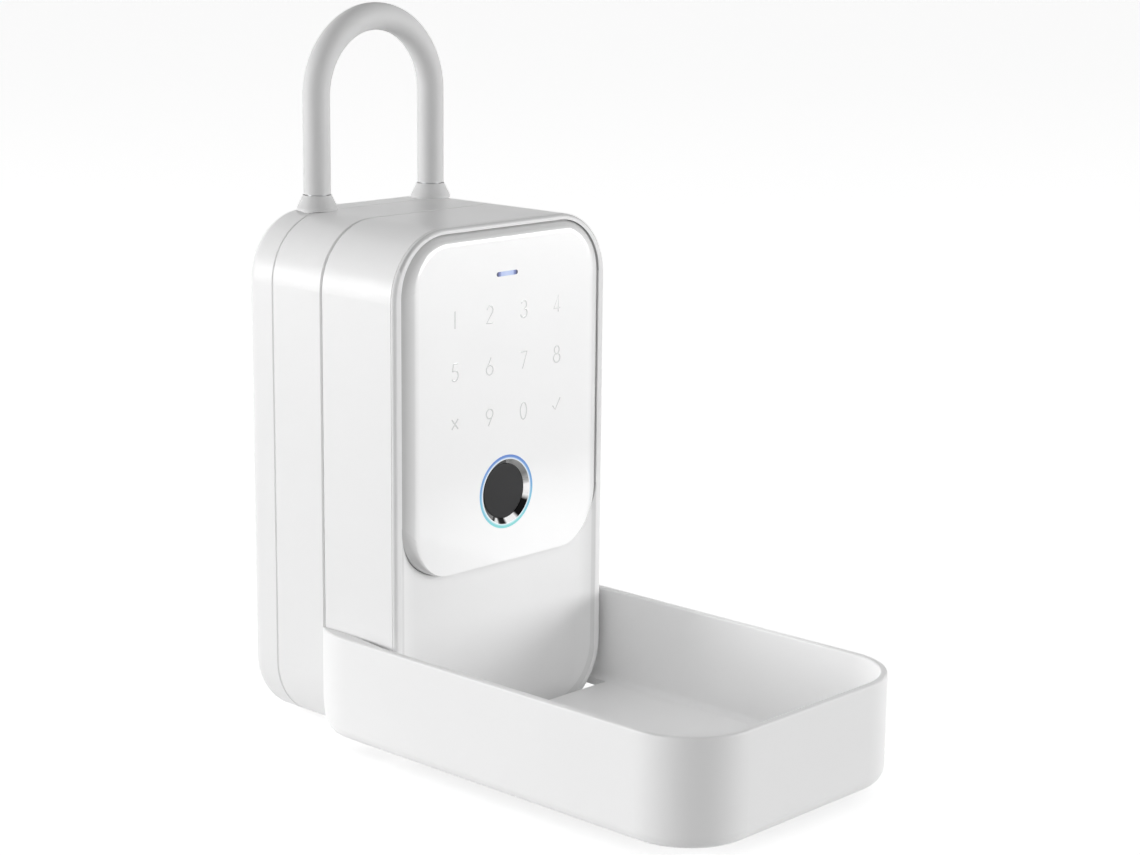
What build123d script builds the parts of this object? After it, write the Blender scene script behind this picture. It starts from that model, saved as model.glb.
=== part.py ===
from build123d import *
import math
import os

# Key lock box: a case with a shackle, a hinged door that carries the keypad, and a flip cover.
# The model is built with X to the right, Y to the back and Z up. Z is 0 under the case and Y is 0 in
# the seam between door and case. At the end everything moves so that the origin is the centre of the
# back face. All lengths are in millimetres.

# ---- driving dimensions ----
BODY_WIDTH = 70.0
BODY_HEIGHT = 124.6
BODY_CORNER = 16.0
CASE_DEPTH = 27.0
REAR_COVER_DEPTH = 9.8
DOOR_DEPTH = 24.8
SHELL_WALL = 2.4
BACK_WALL = 2.6
BACK_EDGE = 3.2
RIM_EDGE = 1.0
RIM_LINE = 0.2
SEAM_GAP = 0.3
SEAM_CHAMFER = 0.3

# fits
RUNNING = 0.05
SLIDING = 0.1
LOOSE = 0.3

# screws
SCREW_RADIUS = 1.3
SCREW_HEAD = 2.2
SCREW_HEAD_THICK = 1.5
SCREW_SLOT_WIDTH = 0.6
SCREW_SLOT_DEPTH = 0.5
SMALL_SCREW_RADIUS = 1.0
SMALL_SCREW_HEAD = 1.7
SCREW_END_SKIN = 0.8
BOSS_RADIUS = 3.2
BOSS_INSET = 6.0
BOSS_DROP = 11.1
CASE_BOSS_LENGTH = 6.2
CASE_SCREW_LENGTH = 11.0
INNER_SCREW_LENGTH = 7.0

# touch panel and the face round it
PANEL_SIDE_MARGIN = 2.35
PANEL_LOW = 43.0
PANEL_TOP_MARGIN = 1.6
PANEL_CORNER = 13.5
PANEL_EDGE_SINK = -0.5
PANEL_PROUD = 1.1
PANEL_THICK = 1.7
PANEL_BEVEL_SIDE = 4.4
PANEL_BEVEL_TOP = 2.6
PANEL_STEPS = 6
PANEL_FIT = 0.15
FACE_RECESS = 1.1
FACE_SLOPE = 5.0
FACE_LOW_MARGIN = 2.0
FACE_SIDE_MARGIN = 2.0
FACE_WALL = 2.2
FACE_CURVE_ROOM = 0.03

# status light and fingerprint reader
LIGHT_DROP = 12.2
LIGHT_LENGTH = 7.0
LIGHT_WIDTH = 1.1
SENSOR_HEIGHT = 60.0
RING_RADIUS = 8.9
RING_WIDTH = 1.0
BEZEL_WIDTH = 1.2
BEZEL_LIP = 0.1
SENSOR_DISH = 0.9
SENSOR_EDGE = 0.3
SENSOR_BODY_DEPTH = 8.6

# flip cover, given in its open position
COVER_WALL = 1.8
COVER_SIDE_ROOM = 1.7
COVER_TOP_ROOM = 1.8
COVER_FACE_ROOM = 0.8
COVER_FLOOR_ROOM = 1.8
COVER_RIM = 28.5
COVER_CORNER = 17.0
COVER_EDGE = 3.5
COVER_INNER_EDGE = 1.7
COVER_RIM_EDGE = 0.5
EAR_BACK = 0.35
EAR_CLEARANCE = 0.3
EAR_CURVE_START = 10.4
EAR_TIP = 0.5
EAR_LOW_CORNER = 10.0
EAR_TAPER_LENGTH = 9.5
PIVOT_BACK = 11.25
PIVOT_HEIGHT = 20.25
PIVOT_RADIUS = 1.5
PIVOT_HEAD = 2.4
PIVOT_HEAD_THICK = 1.2
PIVOT_DEPTH = 2.1

# shackle
LEG_INSET = 16.35
SHACKLE_INSET = 7.4
SHACKLE_RISE = 48.5
SHACKLE_LIFT = 21.0
CORE_RADIUS = 2.7
CORE_END_CHAMFER = 0.8
SLEEVE_RADIUS = 3.3
SLEEVE_GAP = 0.2
COLLAR_FOOT = 4.9
COLLAR_NECK = 3.45
COLLAR_HEIGHT = 3.6
COLLAR_STEP = 0.6
COLLAR_SPIGOT = 3.9
COLLAR_SINK = 0.8
BLOCK_HEIGHT = 22.2
BLOCK_DEPTH = 11.9
BLOCK_SIDE_WALL = 3.65
BLOCK_SCREW_SPREAD = 16.0
BLOCK_SCREW_RISE = 4.5
CLIP_THICK = 1.0
CLIP_RADIUS = 4.4
CLIP_GROOVE_RADIUS = 2.0
CLIP_MOUTH = 1.6
CLIP_RISE = 1.1
CLIP_STOP = 0.4

# lock bar
LOCK_BAR_DROP = 8.2
LOCK_BAR_HEIGHT = 4.0
LOCK_BAR_DEPTH = 4.4
LOCK_BAR_TRAVEL = 1.9
LOCK_BAR_TAIL = -6.0
LOCK_BAR_CHAMFER = 1.1
BAR_CLEARANCE = 0.25
NOTCH_ROOM = 0.3
NOTCH_DEPTH = 1.8
NOTCH_TO_END = 5.5
TAB_LOW = -4.0
TAB_WIDTH = 4.0
TAB_LIP = 1.2
TAB_CORNER = 0.7
TAB_HEAD_THICK = 0.7
TAB_GROOVE = 0.5
TAB_GROOVE_DEPTH = 0.2
TAB_GROOVE_PITCH = 1.8

# lock bay and key space
SHELF_DROP = 52.6
SHELF_THICK = 2.0
BAY_PLATE_FRONT = 1.2
BAY_PLATE_THICK = 2.0
BAY_HEAD_SINK = 0.6
BAY_BOSS_LENGTH = 7.0
BAY_BOSS_SKIN = 2.0
BAY_BOSS_INSET = 5.2
BAY_SCREW_DROP = 19.6
HOOK_DROP = 10.0
HOOK_WIDTH = 12.0
HOOK_PLATE = 1.6
HOOK_PLATE_LOW = 3.5
HOOK_PLATE_HIGH = 7.0
HOOK_REACH = 8.0
HOOK_RISE = 4.0
HOOK_BEND = 2.0
HOOK_WIRE = 1.2
HOOK_SCREW_SPREAD = 7.6
HOOK_SCREW_RISE = 4.2

# wall screws
WALL_HOLE_RADIUS = 2.2
WALL_HEAD_RADIUS = 4.3
WALL_HEAD_SINK = 0.8
WALL_SPACING = 36.0
WALL_RISE = 0.8

# door hinge
HINGE_OUT = 1.4
HINGE_LOW = 36.0
HINGE_DROP = 18.6
DOOR_KNUCKLE = 22.6
KNUCKLE_RADIUS = 2.1
KNUCKLE_GAP = 0.3
KNUCKLE_ROOT = 0.4
HINGE_PIN_RADIUS = 1.2
PIN_STAND = 0.4

# door seal
SEAL_INSET = 0.9
SEAL_WIDTH = 1.0
SEAL_DEPTH = 1.2
SEAL_PROUD = 0.1

# door interior
INNER_PLATE_THICK = 2.0
INNER_PLATE_BACK = 0.35
BOARD_THICK = 1.6
BOARD_INSET = 10.0
BOARD_STANDOFF = 1.0
BOARD_ABOVE_SENSOR = 4.8
BOARD_TOP_MARGIN = 6.6
BOARD_POST_RADIUS = 2.0
BOARD_POST_INSET = 3.0
CHIP_THICK = 1.0
CHIPS = ((5.0, 0.59, 9.0, 9.0), (7.0, 0.225, 6.0, 4.5), (-21.0, 0.14, 5.0, 6.0), (14.5, 0.775, 7.0, 4.0))

# batteries
CELL_RADIUS = 5.25
CELL_LENGTH = 44.5
CELL_COUNT = 4
CELL_PITCH = 11.0
CELL_GAP = 0.3
CELL_ROOM = 2.15
CELL_TIP = 0.8
CELL_NUB = 1.9
CELL_EDGE = 0.5
CONTACT_THICK = 0.4
CONTACT_HALF = 4.2
HOLDER_LOW = 5.4
HOLDER_WALL = 1.2
RIB_WIDTH = 0.4
RIB_HEIGHT = 2.0
LID_THICK = 1.0
LID_FIT = 0.15
LID_LEDGE = 1.0
LID_TOP_MARGIN = 2.5
LID_SCREW_RISE = 0.7
LID_SCREW_LENGTH = 3.5
LID_BOSS = 4.0

# latch: a motor turns a pinion that slides the bolt into the keeper
TOOTH_MODULE = 0.8
PINION_TEETH = 12
RACK_TEETH = 6
RACK_LEAD = 1.5
RACK_ADDENDUM = 0.5
RACK_DEDENDUM = 1.0
PINION_DEDENDUM = 1.0
FLANK_STEPS = 5
PRESSURE_ANGLE = 20.0
BACKLASH = 0.16
PINION_INSET = 27.0
BOLT_DROP = 32.1
BOLT_HEIGHT = 5.0
BOLT_BACK = 3.6
BOLT_THICK = 3.4
BOLT_CHAMFER = 0.6
BOLT_TRAVEL = 5.0
BOLT_END_STAND = 1.0
GUIDE_LENGTH = 5.8
GUIDE_WALL = 1.5
GUIDE_CLEAR = 0.7
CHASSIS_HALF = 4.5
CRADLE_WALL = 1.2
MOTOR_WIDTH = 12.0
MOTOR_DEPTH = 10.0
MOTOR_LENGTH = 24.0
MOTOR_GAP = 2.0
MOTOR_SHAFT = 1.5
BUSHING_RADIUS = 3.0
SHAFT_LENGTH = 11.0
KEEPER_THICK = 2.0
KEEPER_STAND = 1.5
KEEPER_HEIGHT = 13.0
KEEPER_REACH = 9.0
KEEPER_ROOM = 0.4
KEEPER_SWING = 1.2
KEEPER_FLANGE = 12.0
KEEPER_SCREW_INSET = 4.4
KEEPER_SCREW_SPREAD = 6.0
KEEPER_SCREW_LENGTH = 4.0

# power socket
SOCKET_WIDTH = 9.0
SOCKET_DEPTH = 3.2
SOCKET_HEIGHT = 7.0
SOCKET_STAND = 0.6
SOCKET_SINK = 0.4
SOCKET_WALL = 0.4
SOCKET_BOARD_WIDTH = 18.0
SOCKET_BOARD_HEIGHT = 14.0
SOCKET_BOARD_THICK = 0.8

# ---- places worked out from the sizes above ----
HALF_WIDTH = BODY_WIDTH / 2
INNER_HALF = HALF_WIDTH - SHELL_WALL
SEAM_Y = CASE_DEPTH - REAR_COVER_DEPTH
DOOR_BACK = -SEAM_GAP / 2
CASE_FRONT = SEAM_GAP / 2
RIM_Y = -DOOR_DEPTH
INNER_BACK = CASE_DEPTH - BACK_WALL
INNER_TOP = BODY_HEIGHT - SHELL_WALL
CORNER_SCREWS = [(x, z) for z in (BOSS_DROP, BODY_HEIGHT - BOSS_DROP)
                 for x in (BOSS_INSET - HALF_WIDTH, HALF_WIDTH - BOSS_INSET)]
CASE_BOSS_FRONT = SEAM_Y - CASE_BOSS_LENGTH
CASE_SCREW_END = CASE_BOSS_FRONT + CASE_SCREW_LENGTH
THREAD_END = CASE_DEPTH - SCREW_END_SKIN

PANEL_WIDTH = BODY_WIDTH - 2 * PANEL_SIDE_MARGIN
PANEL_HIGH = BODY_HEIGHT - PANEL_TOP_MARGIN
PANEL_EDGE_Y = RIM_Y - PANEL_EDGE_SINK
PANEL_FLAT_Y = RIM_Y - PANEL_PROUD
PANEL_BACK_Y = PANEL_EDGE_Y + PANEL_THICK
PANEL_BEVEL_DEPTH = PANEL_EDGE_Y - PANEL_FLAT_Y
FACE_Y = RIM_Y + FACE_RECESS
FACE_INNER_Y = FACE_Y + FACE_WALL
LIGHT_HEIGHT = BODY_HEIGHT - LIGHT_DROP
BEZEL_RADIUS = RING_RADIUS - RING_WIDTH
SENSOR_RADIUS = BEZEL_RADIUS - BEZEL_WIDTH

COVER_HALF = HALF_WIDTH + COVER_SIDE_ROOM + COVER_WALL
COVER_REACH = PIVOT_BACK + BODY_HEIGHT - PIVOT_HEIGHT + COVER_TOP_ROOM + COVER_WALL
COVER_FLOOR = PIVOT_HEIGHT + PIVOT_BACK + PANEL_FLAT_Y - COVER_FACE_ROOM
COVER_BOTTOM = COVER_FLOOR - COVER_WALL
COVER_FLOOR_BACK = RIM_Y - COVER_FLOOR_ROOM
EAR_INNER = HALF_WIDTH + EAR_CLEARANCE
EAR_END = EAR_INNER + EAR_TIP
EAR_TAPER_BACK = -PIVOT_BACK - PIVOT_RADIUS
EAR_TAPER_FRONT = EAR_TAPER_BACK - EAR_TAPER_LENGTH

LEG_X = HALF_WIDTH - LEG_INSET
SHACKLE_BACK = CASE_DEPTH - SHACKLE_INSET
SHACKLE_TOP = BODY_HEIGHT + SHACKLE_RISE
ARCH_HEIGHT = SHACKLE_TOP - SLEEVE_RADIUS - LEG_X
SLEEVE_LOW = BODY_HEIGHT + COLLAR_HEIGHT + SLEEVE_GAP
BLOCK_LOW = INNER_TOP - BLOCK_HEIGHT
BLOCK_FRONT = INNER_BACK - BLOCK_DEPTH
BLOCK_HALF = LEG_X + CORE_RADIUS + BLOCK_SIDE_WALL
BLOCK_SCREWS = [(side * BLOCK_SCREW_SPREAD / 2, BLOCK_LOW + BLOCK_SCREW_RISE) for side in (-1, 1)]
CLIP_LOW = BLOCK_LOW - CLIP_STOP - SHACKLE_LIFT - CLIP_THICK
LONG_LEG_END = CLIP_LOW - CLIP_RISE
LOCK_BAR_CENTRE = INNER_TOP - LOCK_BAR_DROP
LOCK_BAR_LOW = LOCK_BAR_CENTRE - LOCK_BAR_HEIGHT / 2
LOCK_BAR_HIGH = LOCK_BAR_CENTRE + LOCK_BAR_HEIGHT / 2
LOCK_BAR_TIP = LEG_X - CORE_RADIUS - BAR_CLEARANCE
LOCK_BAR_FRONT = SHACKLE_BACK - LOCK_BAR_DEPTH / 2
SHORT_LEG_END = LOCK_BAR_CENTRE - NOTCH_TO_END
TAB_HIGH = TAB_LOW + TAB_WIDTH
TAB_HEAD_BACK = BAY_PLATE_FRONT - SLIDING

SHELF_HEIGHT = BODY_HEIGHT - SHELF_DROP
SHELF_TOP = SHELF_HEIGHT + SHELF_THICK
WALL_CENTRE = (SHELL_WALL + SHELF_HEIGHT) / 2 + WALL_RISE
HOOK_HEIGHT = SHELF_HEIGHT - HOOK_DROP
BAY_PLATE_BACK = BAY_PLATE_FRONT + BAY_PLATE_THICK
BAY_HEAD_FRONT = BAY_PLATE_FRONT + BAY_HEAD_SINK - SCREW_HEAD_THICK
BAY_SCREW_LENGTH = BAY_PLATE_THICK - BAY_HEAD_SINK + BAY_BOSS_LENGTH - BAY_BOSS_SKIN
HOOK_SCREWS = [(side * HOOK_SCREW_SPREAD / 2, HOOK_HEIGHT + HOOK_SCREW_RISE) for side in (-1, 1)]

HINGE_X = HALF_WIDTH + HINGE_OUT
HINGE_HIGH = BODY_HEIGHT - HINGE_DROP
CASE_KNUCKLE = (HINGE_HIGH - HINGE_LOW - DOOR_KNUCKLE) / 2
CASE_KNUCKLES = [(HINGE_LOW, HINGE_LOW + CASE_KNUCKLE - KNUCKLE_GAP),
                 (HINGE_HIGH - CASE_KNUCKLE + KNUCKLE_GAP, HINGE_HIGH)]
DOOR_KNUCKLES = [(HINGE_LOW + CASE_KNUCKLE, HINGE_HIGH - CASE_KNUCKLE)]

PLATE_BACK = -INNER_PLATE_BACK
PLATE_FRONT = PLATE_BACK - INNER_PLATE_THICK
PLATE_INSET = SHELL_WALL + SLIDING
BOARD_FRONT = FACE_INNER_Y + BOARD_STANDOFF
BOARD_BACK = BOARD_FRONT + BOARD_THICK
BOARD_LOW = SENSOR_HEIGHT + SENSOR_RADIUS + BOARD_ABOVE_SENSOR
BOARD_HIGH = BODY_HEIGHT - BOARD_TOP_MARGIN
BOARD_WIDTH = BODY_WIDTH - 2 * BOARD_INSET
BOARD_POSTS = [(side * (BOARD_WIDTH / 2 - BOARD_POST_INSET), z) for side in (-1, 1)
               for z in (BOARD_LOW + BOARD_POST_INSET, BOARD_HIGH - BOARD_POST_INSET)]

CELL_PLACES = [(index - (CELL_COUNT - 1) / 2) * CELL_PITCH for index in range(CELL_COUNT)]
HOLDER_INNER_HALF = CELL_COUNT * CELL_PITCH / 2
HOLDER_FRONT = PLATE_FRONT - CELL_ROOM - 2 * CELL_RADIUS - CELL_GAP - HOLDER_WALL
HOLDER_FLOOR = HOLDER_FRONT + HOLDER_WALL
HOLDER_HIGH = HOLDER_LOW + 2 * HOLDER_WALL + 2 * CONTACT_THICK + CELL_LENGTH
CELL_Y = HOLDER_FLOOR + CELL_GAP + CELL_RADIUS
CELL_LOW = HOLDER_LOW + HOLDER_WALL + CONTACT_THICK
CELL_HIGH = CELL_LOW + CELL_LENGTH
LID_HALF = HOLDER_INNER_HALF + LID_LEDGE
LID_LOW = HOLDER_LOW + HOLDER_WALL - LID_LEDGE
LID_SCREW_HEIGHT = HOLDER_HIGH + BOSS_RADIUS + LID_SCREW_RISE
LID_HIGH = LID_SCREW_HEIGHT + LID_TOP_MARGIN
LID_FRONT = PLATE_BACK - LID_THICK

BOLT_CENTRE = BODY_HEIGHT - BOLT_DROP
BOLT_FRONT = -BOLT_BACK - BOLT_THICK
BOLT_LOW = BOLT_CENTRE - BOLT_HEIGHT / 2
BOLT_HIGH = BOLT_CENTRE + BOLT_HEIGHT / 2
TOOTH_PITCH = math.pi * TOOTH_MODULE
TOOTH_LEAN = math.tan(math.radians(PRESSURE_ANGLE))
PITCH_RADIUS = TOOTH_MODULE * PINION_TEETH / 2
BASE_RADIUS = PITCH_RADIUS * math.cos(math.radians(PRESSURE_ANGLE))
PINION_X = PINION_INSET - HALF_WIDTH
PITCH_Y = BOLT_FRONT - RACK_DEDENDUM
PINION_Y = PITCH_Y - PITCH_RADIUS
RACK_LEFT = PINION_X - (RACK_LEAD + 0.5) * TOOTH_PITCH
RACK_RIGHT = RACK_LEFT + RACK_TEETH * TOOTH_PITCH
LEFT_GUIDE_END = RACK_LEFT - BOLT_TRAVEL - GUIDE_CLEAR
RIGHT_GUIDE_START = RACK_RIGHT + GUIDE_CLEAR
GUIDES = ((LEFT_GUIDE_END - GUIDE_LENGTH, LEFT_GUIDE_END),
          (RIGHT_GUIDE_START, RIGHT_GUIDE_START + GUIDE_LENGTH))
BOLT_TIP = GUIDES[0][0] - BOLT_END_STAND
BOLT_TAIL = GUIDES[1][1] + BOLT_END_STAND
CHASSIS_FRONT = -BOLT_BACK + SLIDING
CHASSIS_LOW = BOLT_CENTRE - CHASSIS_HALF
CHASSIS_HIGH = BOLT_CENTRE + CHASSIS_HALF
MOTOR_LOW = BOLT_HIGH + MOTOR_GAP
MOTOR_HIGH = MOTOR_LOW + MOTOR_LENGTH
MOTOR_LEFT = PINION_X - MOTOR_WIDTH / 2
MOTOR_RIGHT = PINION_X + MOTOR_WIDTH / 2
CRADLE_LOW = MOTOR_LOW + CRADLE_WALL
CRADLE_HIGH = MOTOR_HIGH - CRADLE_WALL
SHAFT_TOP = BOLT_LOW + SHAFT_LENGTH
KEEPER_FACE = BOLT_TIP - KEEPER_STAND
KEEPER_BACK = KEEPER_FACE - KEEPER_THICK
KEEPER_LOW = BOLT_CENTRE - KEEPER_HEIGHT / 2
KEEPER_HIGH = BOLT_CENTRE + KEEPER_HEIGHT / 2
KEEPER_FLANGE_END = KEEPER_BACK + KEEPER_FLANGE
KEEPER_SCREWS = [(KEEPER_FLANGE_END - KEEPER_SCREW_INSET, BOLT_CENTRE + side * KEEPER_SCREW_SPREAD / 2)
                 for side in (-1, 1)]
BAY_SCREWS = [(x, z) for z in ((SHELF_TOP + KEEPER_LOW) / 2, BODY_HEIGHT - BAY_SCREW_DROP)
              for x in (BAY_BOSS_INSET - HALF_WIDTH, HALF_WIDTH - BAY_BOSS_INSET)]

SOCKET_Y = FACE_INNER_Y + SOCKET_STAND + SOCKET_DEPTH / 2
ORIGIN = Pos(0, -CASE_DEPTH, -BODY_HEIGHT / 2)


# ---- helpers ----
def slab(face, front, back):
    """Extrude a face drawn with x to the right and z up, from y = front to y = back."""
    plane = Plane((0, back, 0), x_dir=(1, 0, 0), z_dir=(0, -1, 0))
    return extrude(plane * face, back - front)


def block(x_low, x_high, y_low, y_high, z_low, z_high):
    size = (x_high - x_low, y_high - y_low, z_high - z_low)
    middle = Pos((x_low + x_high) / 2, (y_low + y_high) / 2, (z_low + z_high) / 2)
    return middle * Box(*size)


def rod_x(y, z, radius, x_low, x_high):
    return Pos((x_low + x_high) / 2, y, z) * Rot(0, 90, 0) * Cylinder(radius, x_high - x_low)


def rod_y(x, z, radius, y_low, y_high):
    return Pos(x, (y_low + y_high) / 2, z) * Rot(90, 0, 0) * Cylinder(radius, y_high - y_low)


def rod_z(x, y, radius, z_low, z_high):
    return Pos(x, y, (z_low + z_high) / 2) * Cylinder(radius, z_high - z_low)


def rounded(width, low, high, radius):
    """A rounded rectangle centred on x = 0, from z = low to z = high."""
    return Pos(0, (low + high) / 2) * RectangleRounded(width, high - low, radius)


def stadium(length, width):
    """A slot outline with its centre at the origin."""
    return SlotOverall(length, width)


def body_outline(inset=0.0):
    return rounded(BODY_WIDTH - 2 * inset, inset, BODY_HEIGHT - inset, BODY_CORNER - inset)


def edges_at(shape, axis, value, tolerance=1e-3):
    """The edges of a shape that lie in the plane where the axis has this value."""
    return ShapeList(
        e for e in shape.edges()
        if abs(getattr(e.bounding_box().min, axis) - value) < tolerance
        and abs(getattr(e.bounding_box().max, axis) - value) < tolerance
    )


def screw(x, z, head_y, length, radius=SCREW_RADIUS, head=SCREW_HEAD):
    """A pan-head screw with its head at the front and its shank towards the back."""
    body = rod_y(x, z, head, head_y, head_y + SCREW_HEAD_THICK)
    body = fillet(edges_at(body, "Y", head_y), SCREW_HEAD_THICK * 0.4)
    body += rod_y(x, z, radius, head_y + SCREW_HEAD_THICK, head_y + SCREW_HEAD_THICK + length)
    slot = SCREW_SLOT_WIDTH / 2
    return body - block(x - head, x + head, head_y - 1, head_y + SCREW_SLOT_DEPTH, z - slot, z + slot)


def joined(shapes):
    return Compound(children=[s for shape in shapes for s in shape.solids()])


# ---- case ----
def wall_holes():
    """Through holes for the wall screws, with seats for their heads inside."""
    holes = []
    for x in (-WALL_SPACING / 2, WALL_SPACING / 2):
        for z in (WALL_CENTRE - WALL_SPACING / 2, WALL_CENTRE + WALL_SPACING / 2):
            holes.append(rod_y(x, z, WALL_HOLE_RADIUS, INNER_BACK - 1, CASE_DEPTH + 1))
            holes.append(rod_y(x, z, WALL_HEAD_RADIUS, INNER_BACK - 1, INNER_BACK + WALL_HEAD_SINK))
    return holes


def collar_holes():
    """Holes in the top wall for the spigots of the shackle collars."""
    return [rod_z(x, SHACKLE_BACK, COLLAR_SPIGOT, INNER_TOP - 1, BODY_HEIGHT + 1) for x in (-LEG_X, LEG_X)]


def rear_cover():
    shell = slab(body_outline(), SEAM_Y, CASE_DEPTH)
    shell = fillet(edges_at(shell, "Y", CASE_DEPTH), BACK_EDGE)
    shell = chamfer(edges_at(shell, "Y", SEAM_Y), SEAM_CHAMFER)
    shell -= slab(body_outline(SHELL_WALL), SEAM_Y - 1, INNER_BACK)
    shell += block(-INNER_HALF, INNER_HALF, SEAM_Y, INNER_BACK, SHELF_HEIGHT, SHELF_TOP)
    for x, z in CORNER_SCREWS:
        shell += rod_y(x, z, BOSS_RADIUS, SEAM_Y, INNER_BACK)
        shell -= rod_y(x, z, SCREW_RADIUS, SEAM_Y - 1, CASE_SCREW_END)
    for x, z in BLOCK_SCREWS:
        shell -= rod_y(x, z, SCREW_RADIUS, INNER_BACK - 1, THREAD_END)
    for x, z in HOOK_SCREWS:
        shell -= rod_y(x, z, SMALL_SCREW_RADIUS, INNER_BACK - 1, THREAD_END)
    for hole in wall_holes() + collar_holes():
        shell -= hole
    return shell


def knuckle(z_low, z_high, towards):
    """One hinge knuckle and the web that joins it to the side wall, towards the front or the back."""
    barrel = rod_z(HINGE_X, 0, KNUCKLE_RADIUS, z_low, z_high)
    y_near, y_far = towards * SEAM_GAP / 2, towards * KNUCKLE_RADIUS
    web = block(HALF_WIDTH - KNUCKLE_ROOT, HINGE_X, min(y_near, y_far), max(y_near, y_far), z_low, z_high)
    return barrel + web


def knuckle_room(z_low, z_high):
    """The space that a knuckle of the other leaf turns in."""
    return rod_z(HINGE_X, 0, KNUCKLE_RADIUS + LOOSE, z_low - KNUCKLE_GAP, z_high + KNUCKLE_GAP)


def mid_housing():
    ring = slab(body_outline(), CASE_FRONT, SEAM_Y)
    ring = chamfer(edges_at(ring, "Y", CASE_FRONT) + edges_at(ring, "Y", SEAM_Y), SEAM_CHAMFER)
    ring -= slab(body_outline(SHELL_WALL), CASE_FRONT - 1, SEAM_Y + 1)
    ring += block(-INNER_HALF, INNER_HALF, BAY_PLATE_BACK, SEAM_Y,
                  SHELF_HEIGHT, SHELF_TOP)
    for x, z in CORNER_SCREWS:
        ring += rod_y(x, z, BOSS_RADIUS, CASE_BOSS_FRONT, SEAM_Y)
        ring -= rod_y(x, z, SCREW_RADIUS + RUNNING, CASE_BOSS_FRONT - 1, SEAM_Y + 1)
    boss_end = BAY_PLATE_BACK + BAY_BOSS_LENGTH
    for x, z in BAY_SCREWS:
        ring += rod_y(x, z, BOSS_RADIUS, BAY_PLATE_BACK, boss_end)
        ring -= rod_y(x, z, SCREW_RADIUS, BAY_PLATE_BACK - 1, boss_end - BAY_BOSS_SKIN)
    ring &= slab(body_outline(), CASE_FRONT, SEAM_Y)
    ring -= slab(body_outline(SEAL_INSET), CASE_FRONT - 1, CASE_FRONT + SEAL_DEPTH) - slab(
        body_outline(SEAL_INSET + SEAL_WIDTH), CASE_FRONT - 1, CASE_FRONT + SEAL_DEPTH)
    for z_low, z_high in DOOR_KNUCKLES:
        ring -= knuckle_room(z_low, z_high)
    for z_low, z_high in CASE_KNUCKLES:
        ring += knuckle(z_low, z_high, 1)
    ring -= rod_z(HINGE_X, 0, HINGE_PIN_RADIUS, HINGE_LOW - 1, HINGE_HIGH + 1)
    for hole in collar_holes():
        ring -= hole
    return ring


def door_seal():
    band = slab(body_outline(SEAL_INSET), CASE_FRONT - SEAL_PROUD, CASE_FRONT + SEAL_DEPTH)
    band -= slab(body_outline(SEAL_INSET + SEAL_WIDTH), CASE_FRONT - 1, CASE_FRONT + SEAL_DEPTH + 1)
    for z_low, z_high in DOOR_KNUCKLES:
        band -= knuckle_room(z_low, z_high)
    return band


def case_screws():
    head_y = CASE_BOSS_FRONT - SCREW_HEAD_THICK
    return joined(screw(x, z, head_y, CASE_SCREW_LENGTH) for x, z in CORNER_SCREWS)


def bay_plate():
    """The plate that closes the lock bay above the shelf."""
    plate = slab(body_outline(PLATE_INSET), BAY_PLATE_FRONT, BAY_PLATE_BACK)
    plate &= block(-HALF_WIDTH, HALF_WIDTH, 0, BAY_PLATE_BACK + 1, SHELF_HEIGHT, BODY_HEIGHT)
    for x, z in BAY_SCREWS + KEEPER_SCREWS:
        plate -= rod_y(x, z, SCREW_RADIUS + RUNNING, BAY_PLATE_FRONT - 1, BAY_PLATE_BACK + 1)
        plate -= rod_y(x, z, SCREW_HEAD + SLIDING, BAY_PLATE_FRONT - 1, BAY_HEAD_FRONT + SCREW_HEAD_THICK)
    plate -= block(KEEPER_BACK - SLIDING, KEEPER_FACE + SLIDING,
                   BAY_PLATE_FRONT - 1, BAY_PLATE_BACK + 1, KEEPER_LOW - SLIDING, KEEPER_HIGH + SLIDING)
    plate -= block(TAB_LOW - LOOSE, TAB_HIGH + LOCK_BAR_TRAVEL + LOOSE,
                   BAY_PLATE_FRONT - 1, BAY_PLATE_BACK + 1, LOCK_BAR_LOW - LOOSE, LOCK_BAR_HIGH + LOOSE)
    return plate


def bay_screws():
    long_ones = [screw(x, z, BAY_HEAD_FRONT, BAY_SCREW_LENGTH) for x, z in BAY_SCREWS]
    short_ones = [screw(x, z, BAY_HEAD_FRONT, KEEPER_SCREW_LENGTH) for x, z in KEEPER_SCREWS]
    return joined(long_ones + short_ones)


def latch_keeper():
    """A steel angle: one leg behind the bay plate, the other reaching into the door with a window."""
    leg = block(KEEPER_BACK, KEEPER_FACE, -KEEPER_REACH,
                BAY_PLATE_BACK + KEEPER_THICK, KEEPER_LOW, KEEPER_HIGH)
    corners = ShapeList(e for e in leg.edges() if abs((e @ 0.5).Y + KEEPER_REACH) < 1e-3
                        and abs((e @ 0.5).X - KEEPER_FACE + KEEPER_THICK / 2) < 1e-3)
    leg = fillet(corners, KEEPER_THICK)
    window_z = BOLT_HEIGHT / 2 + KEEPER_ROOM
    leg -= block(KEEPER_BACK - 1, KEEPER_FACE + 1, BOLT_FRONT - KEEPER_ROOM,
                 -BOLT_BACK + KEEPER_ROOM, BOLT_CENTRE - window_z, BOLT_CENTRE + window_z)
    flange = block(KEEPER_BACK, KEEPER_FLANGE_END, BAY_PLATE_BACK,
                   BAY_PLATE_BACK + KEEPER_THICK, KEEPER_LOW, KEEPER_HIGH)
    keeper = leg + flange
    for x, z in KEEPER_SCREWS:
        keeper -= rod_y(x, z, SCREW_RADIUS, BAY_PLATE_BACK - 1, BAY_PLATE_BACK + KEEPER_THICK + 1)
    return keeper


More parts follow.
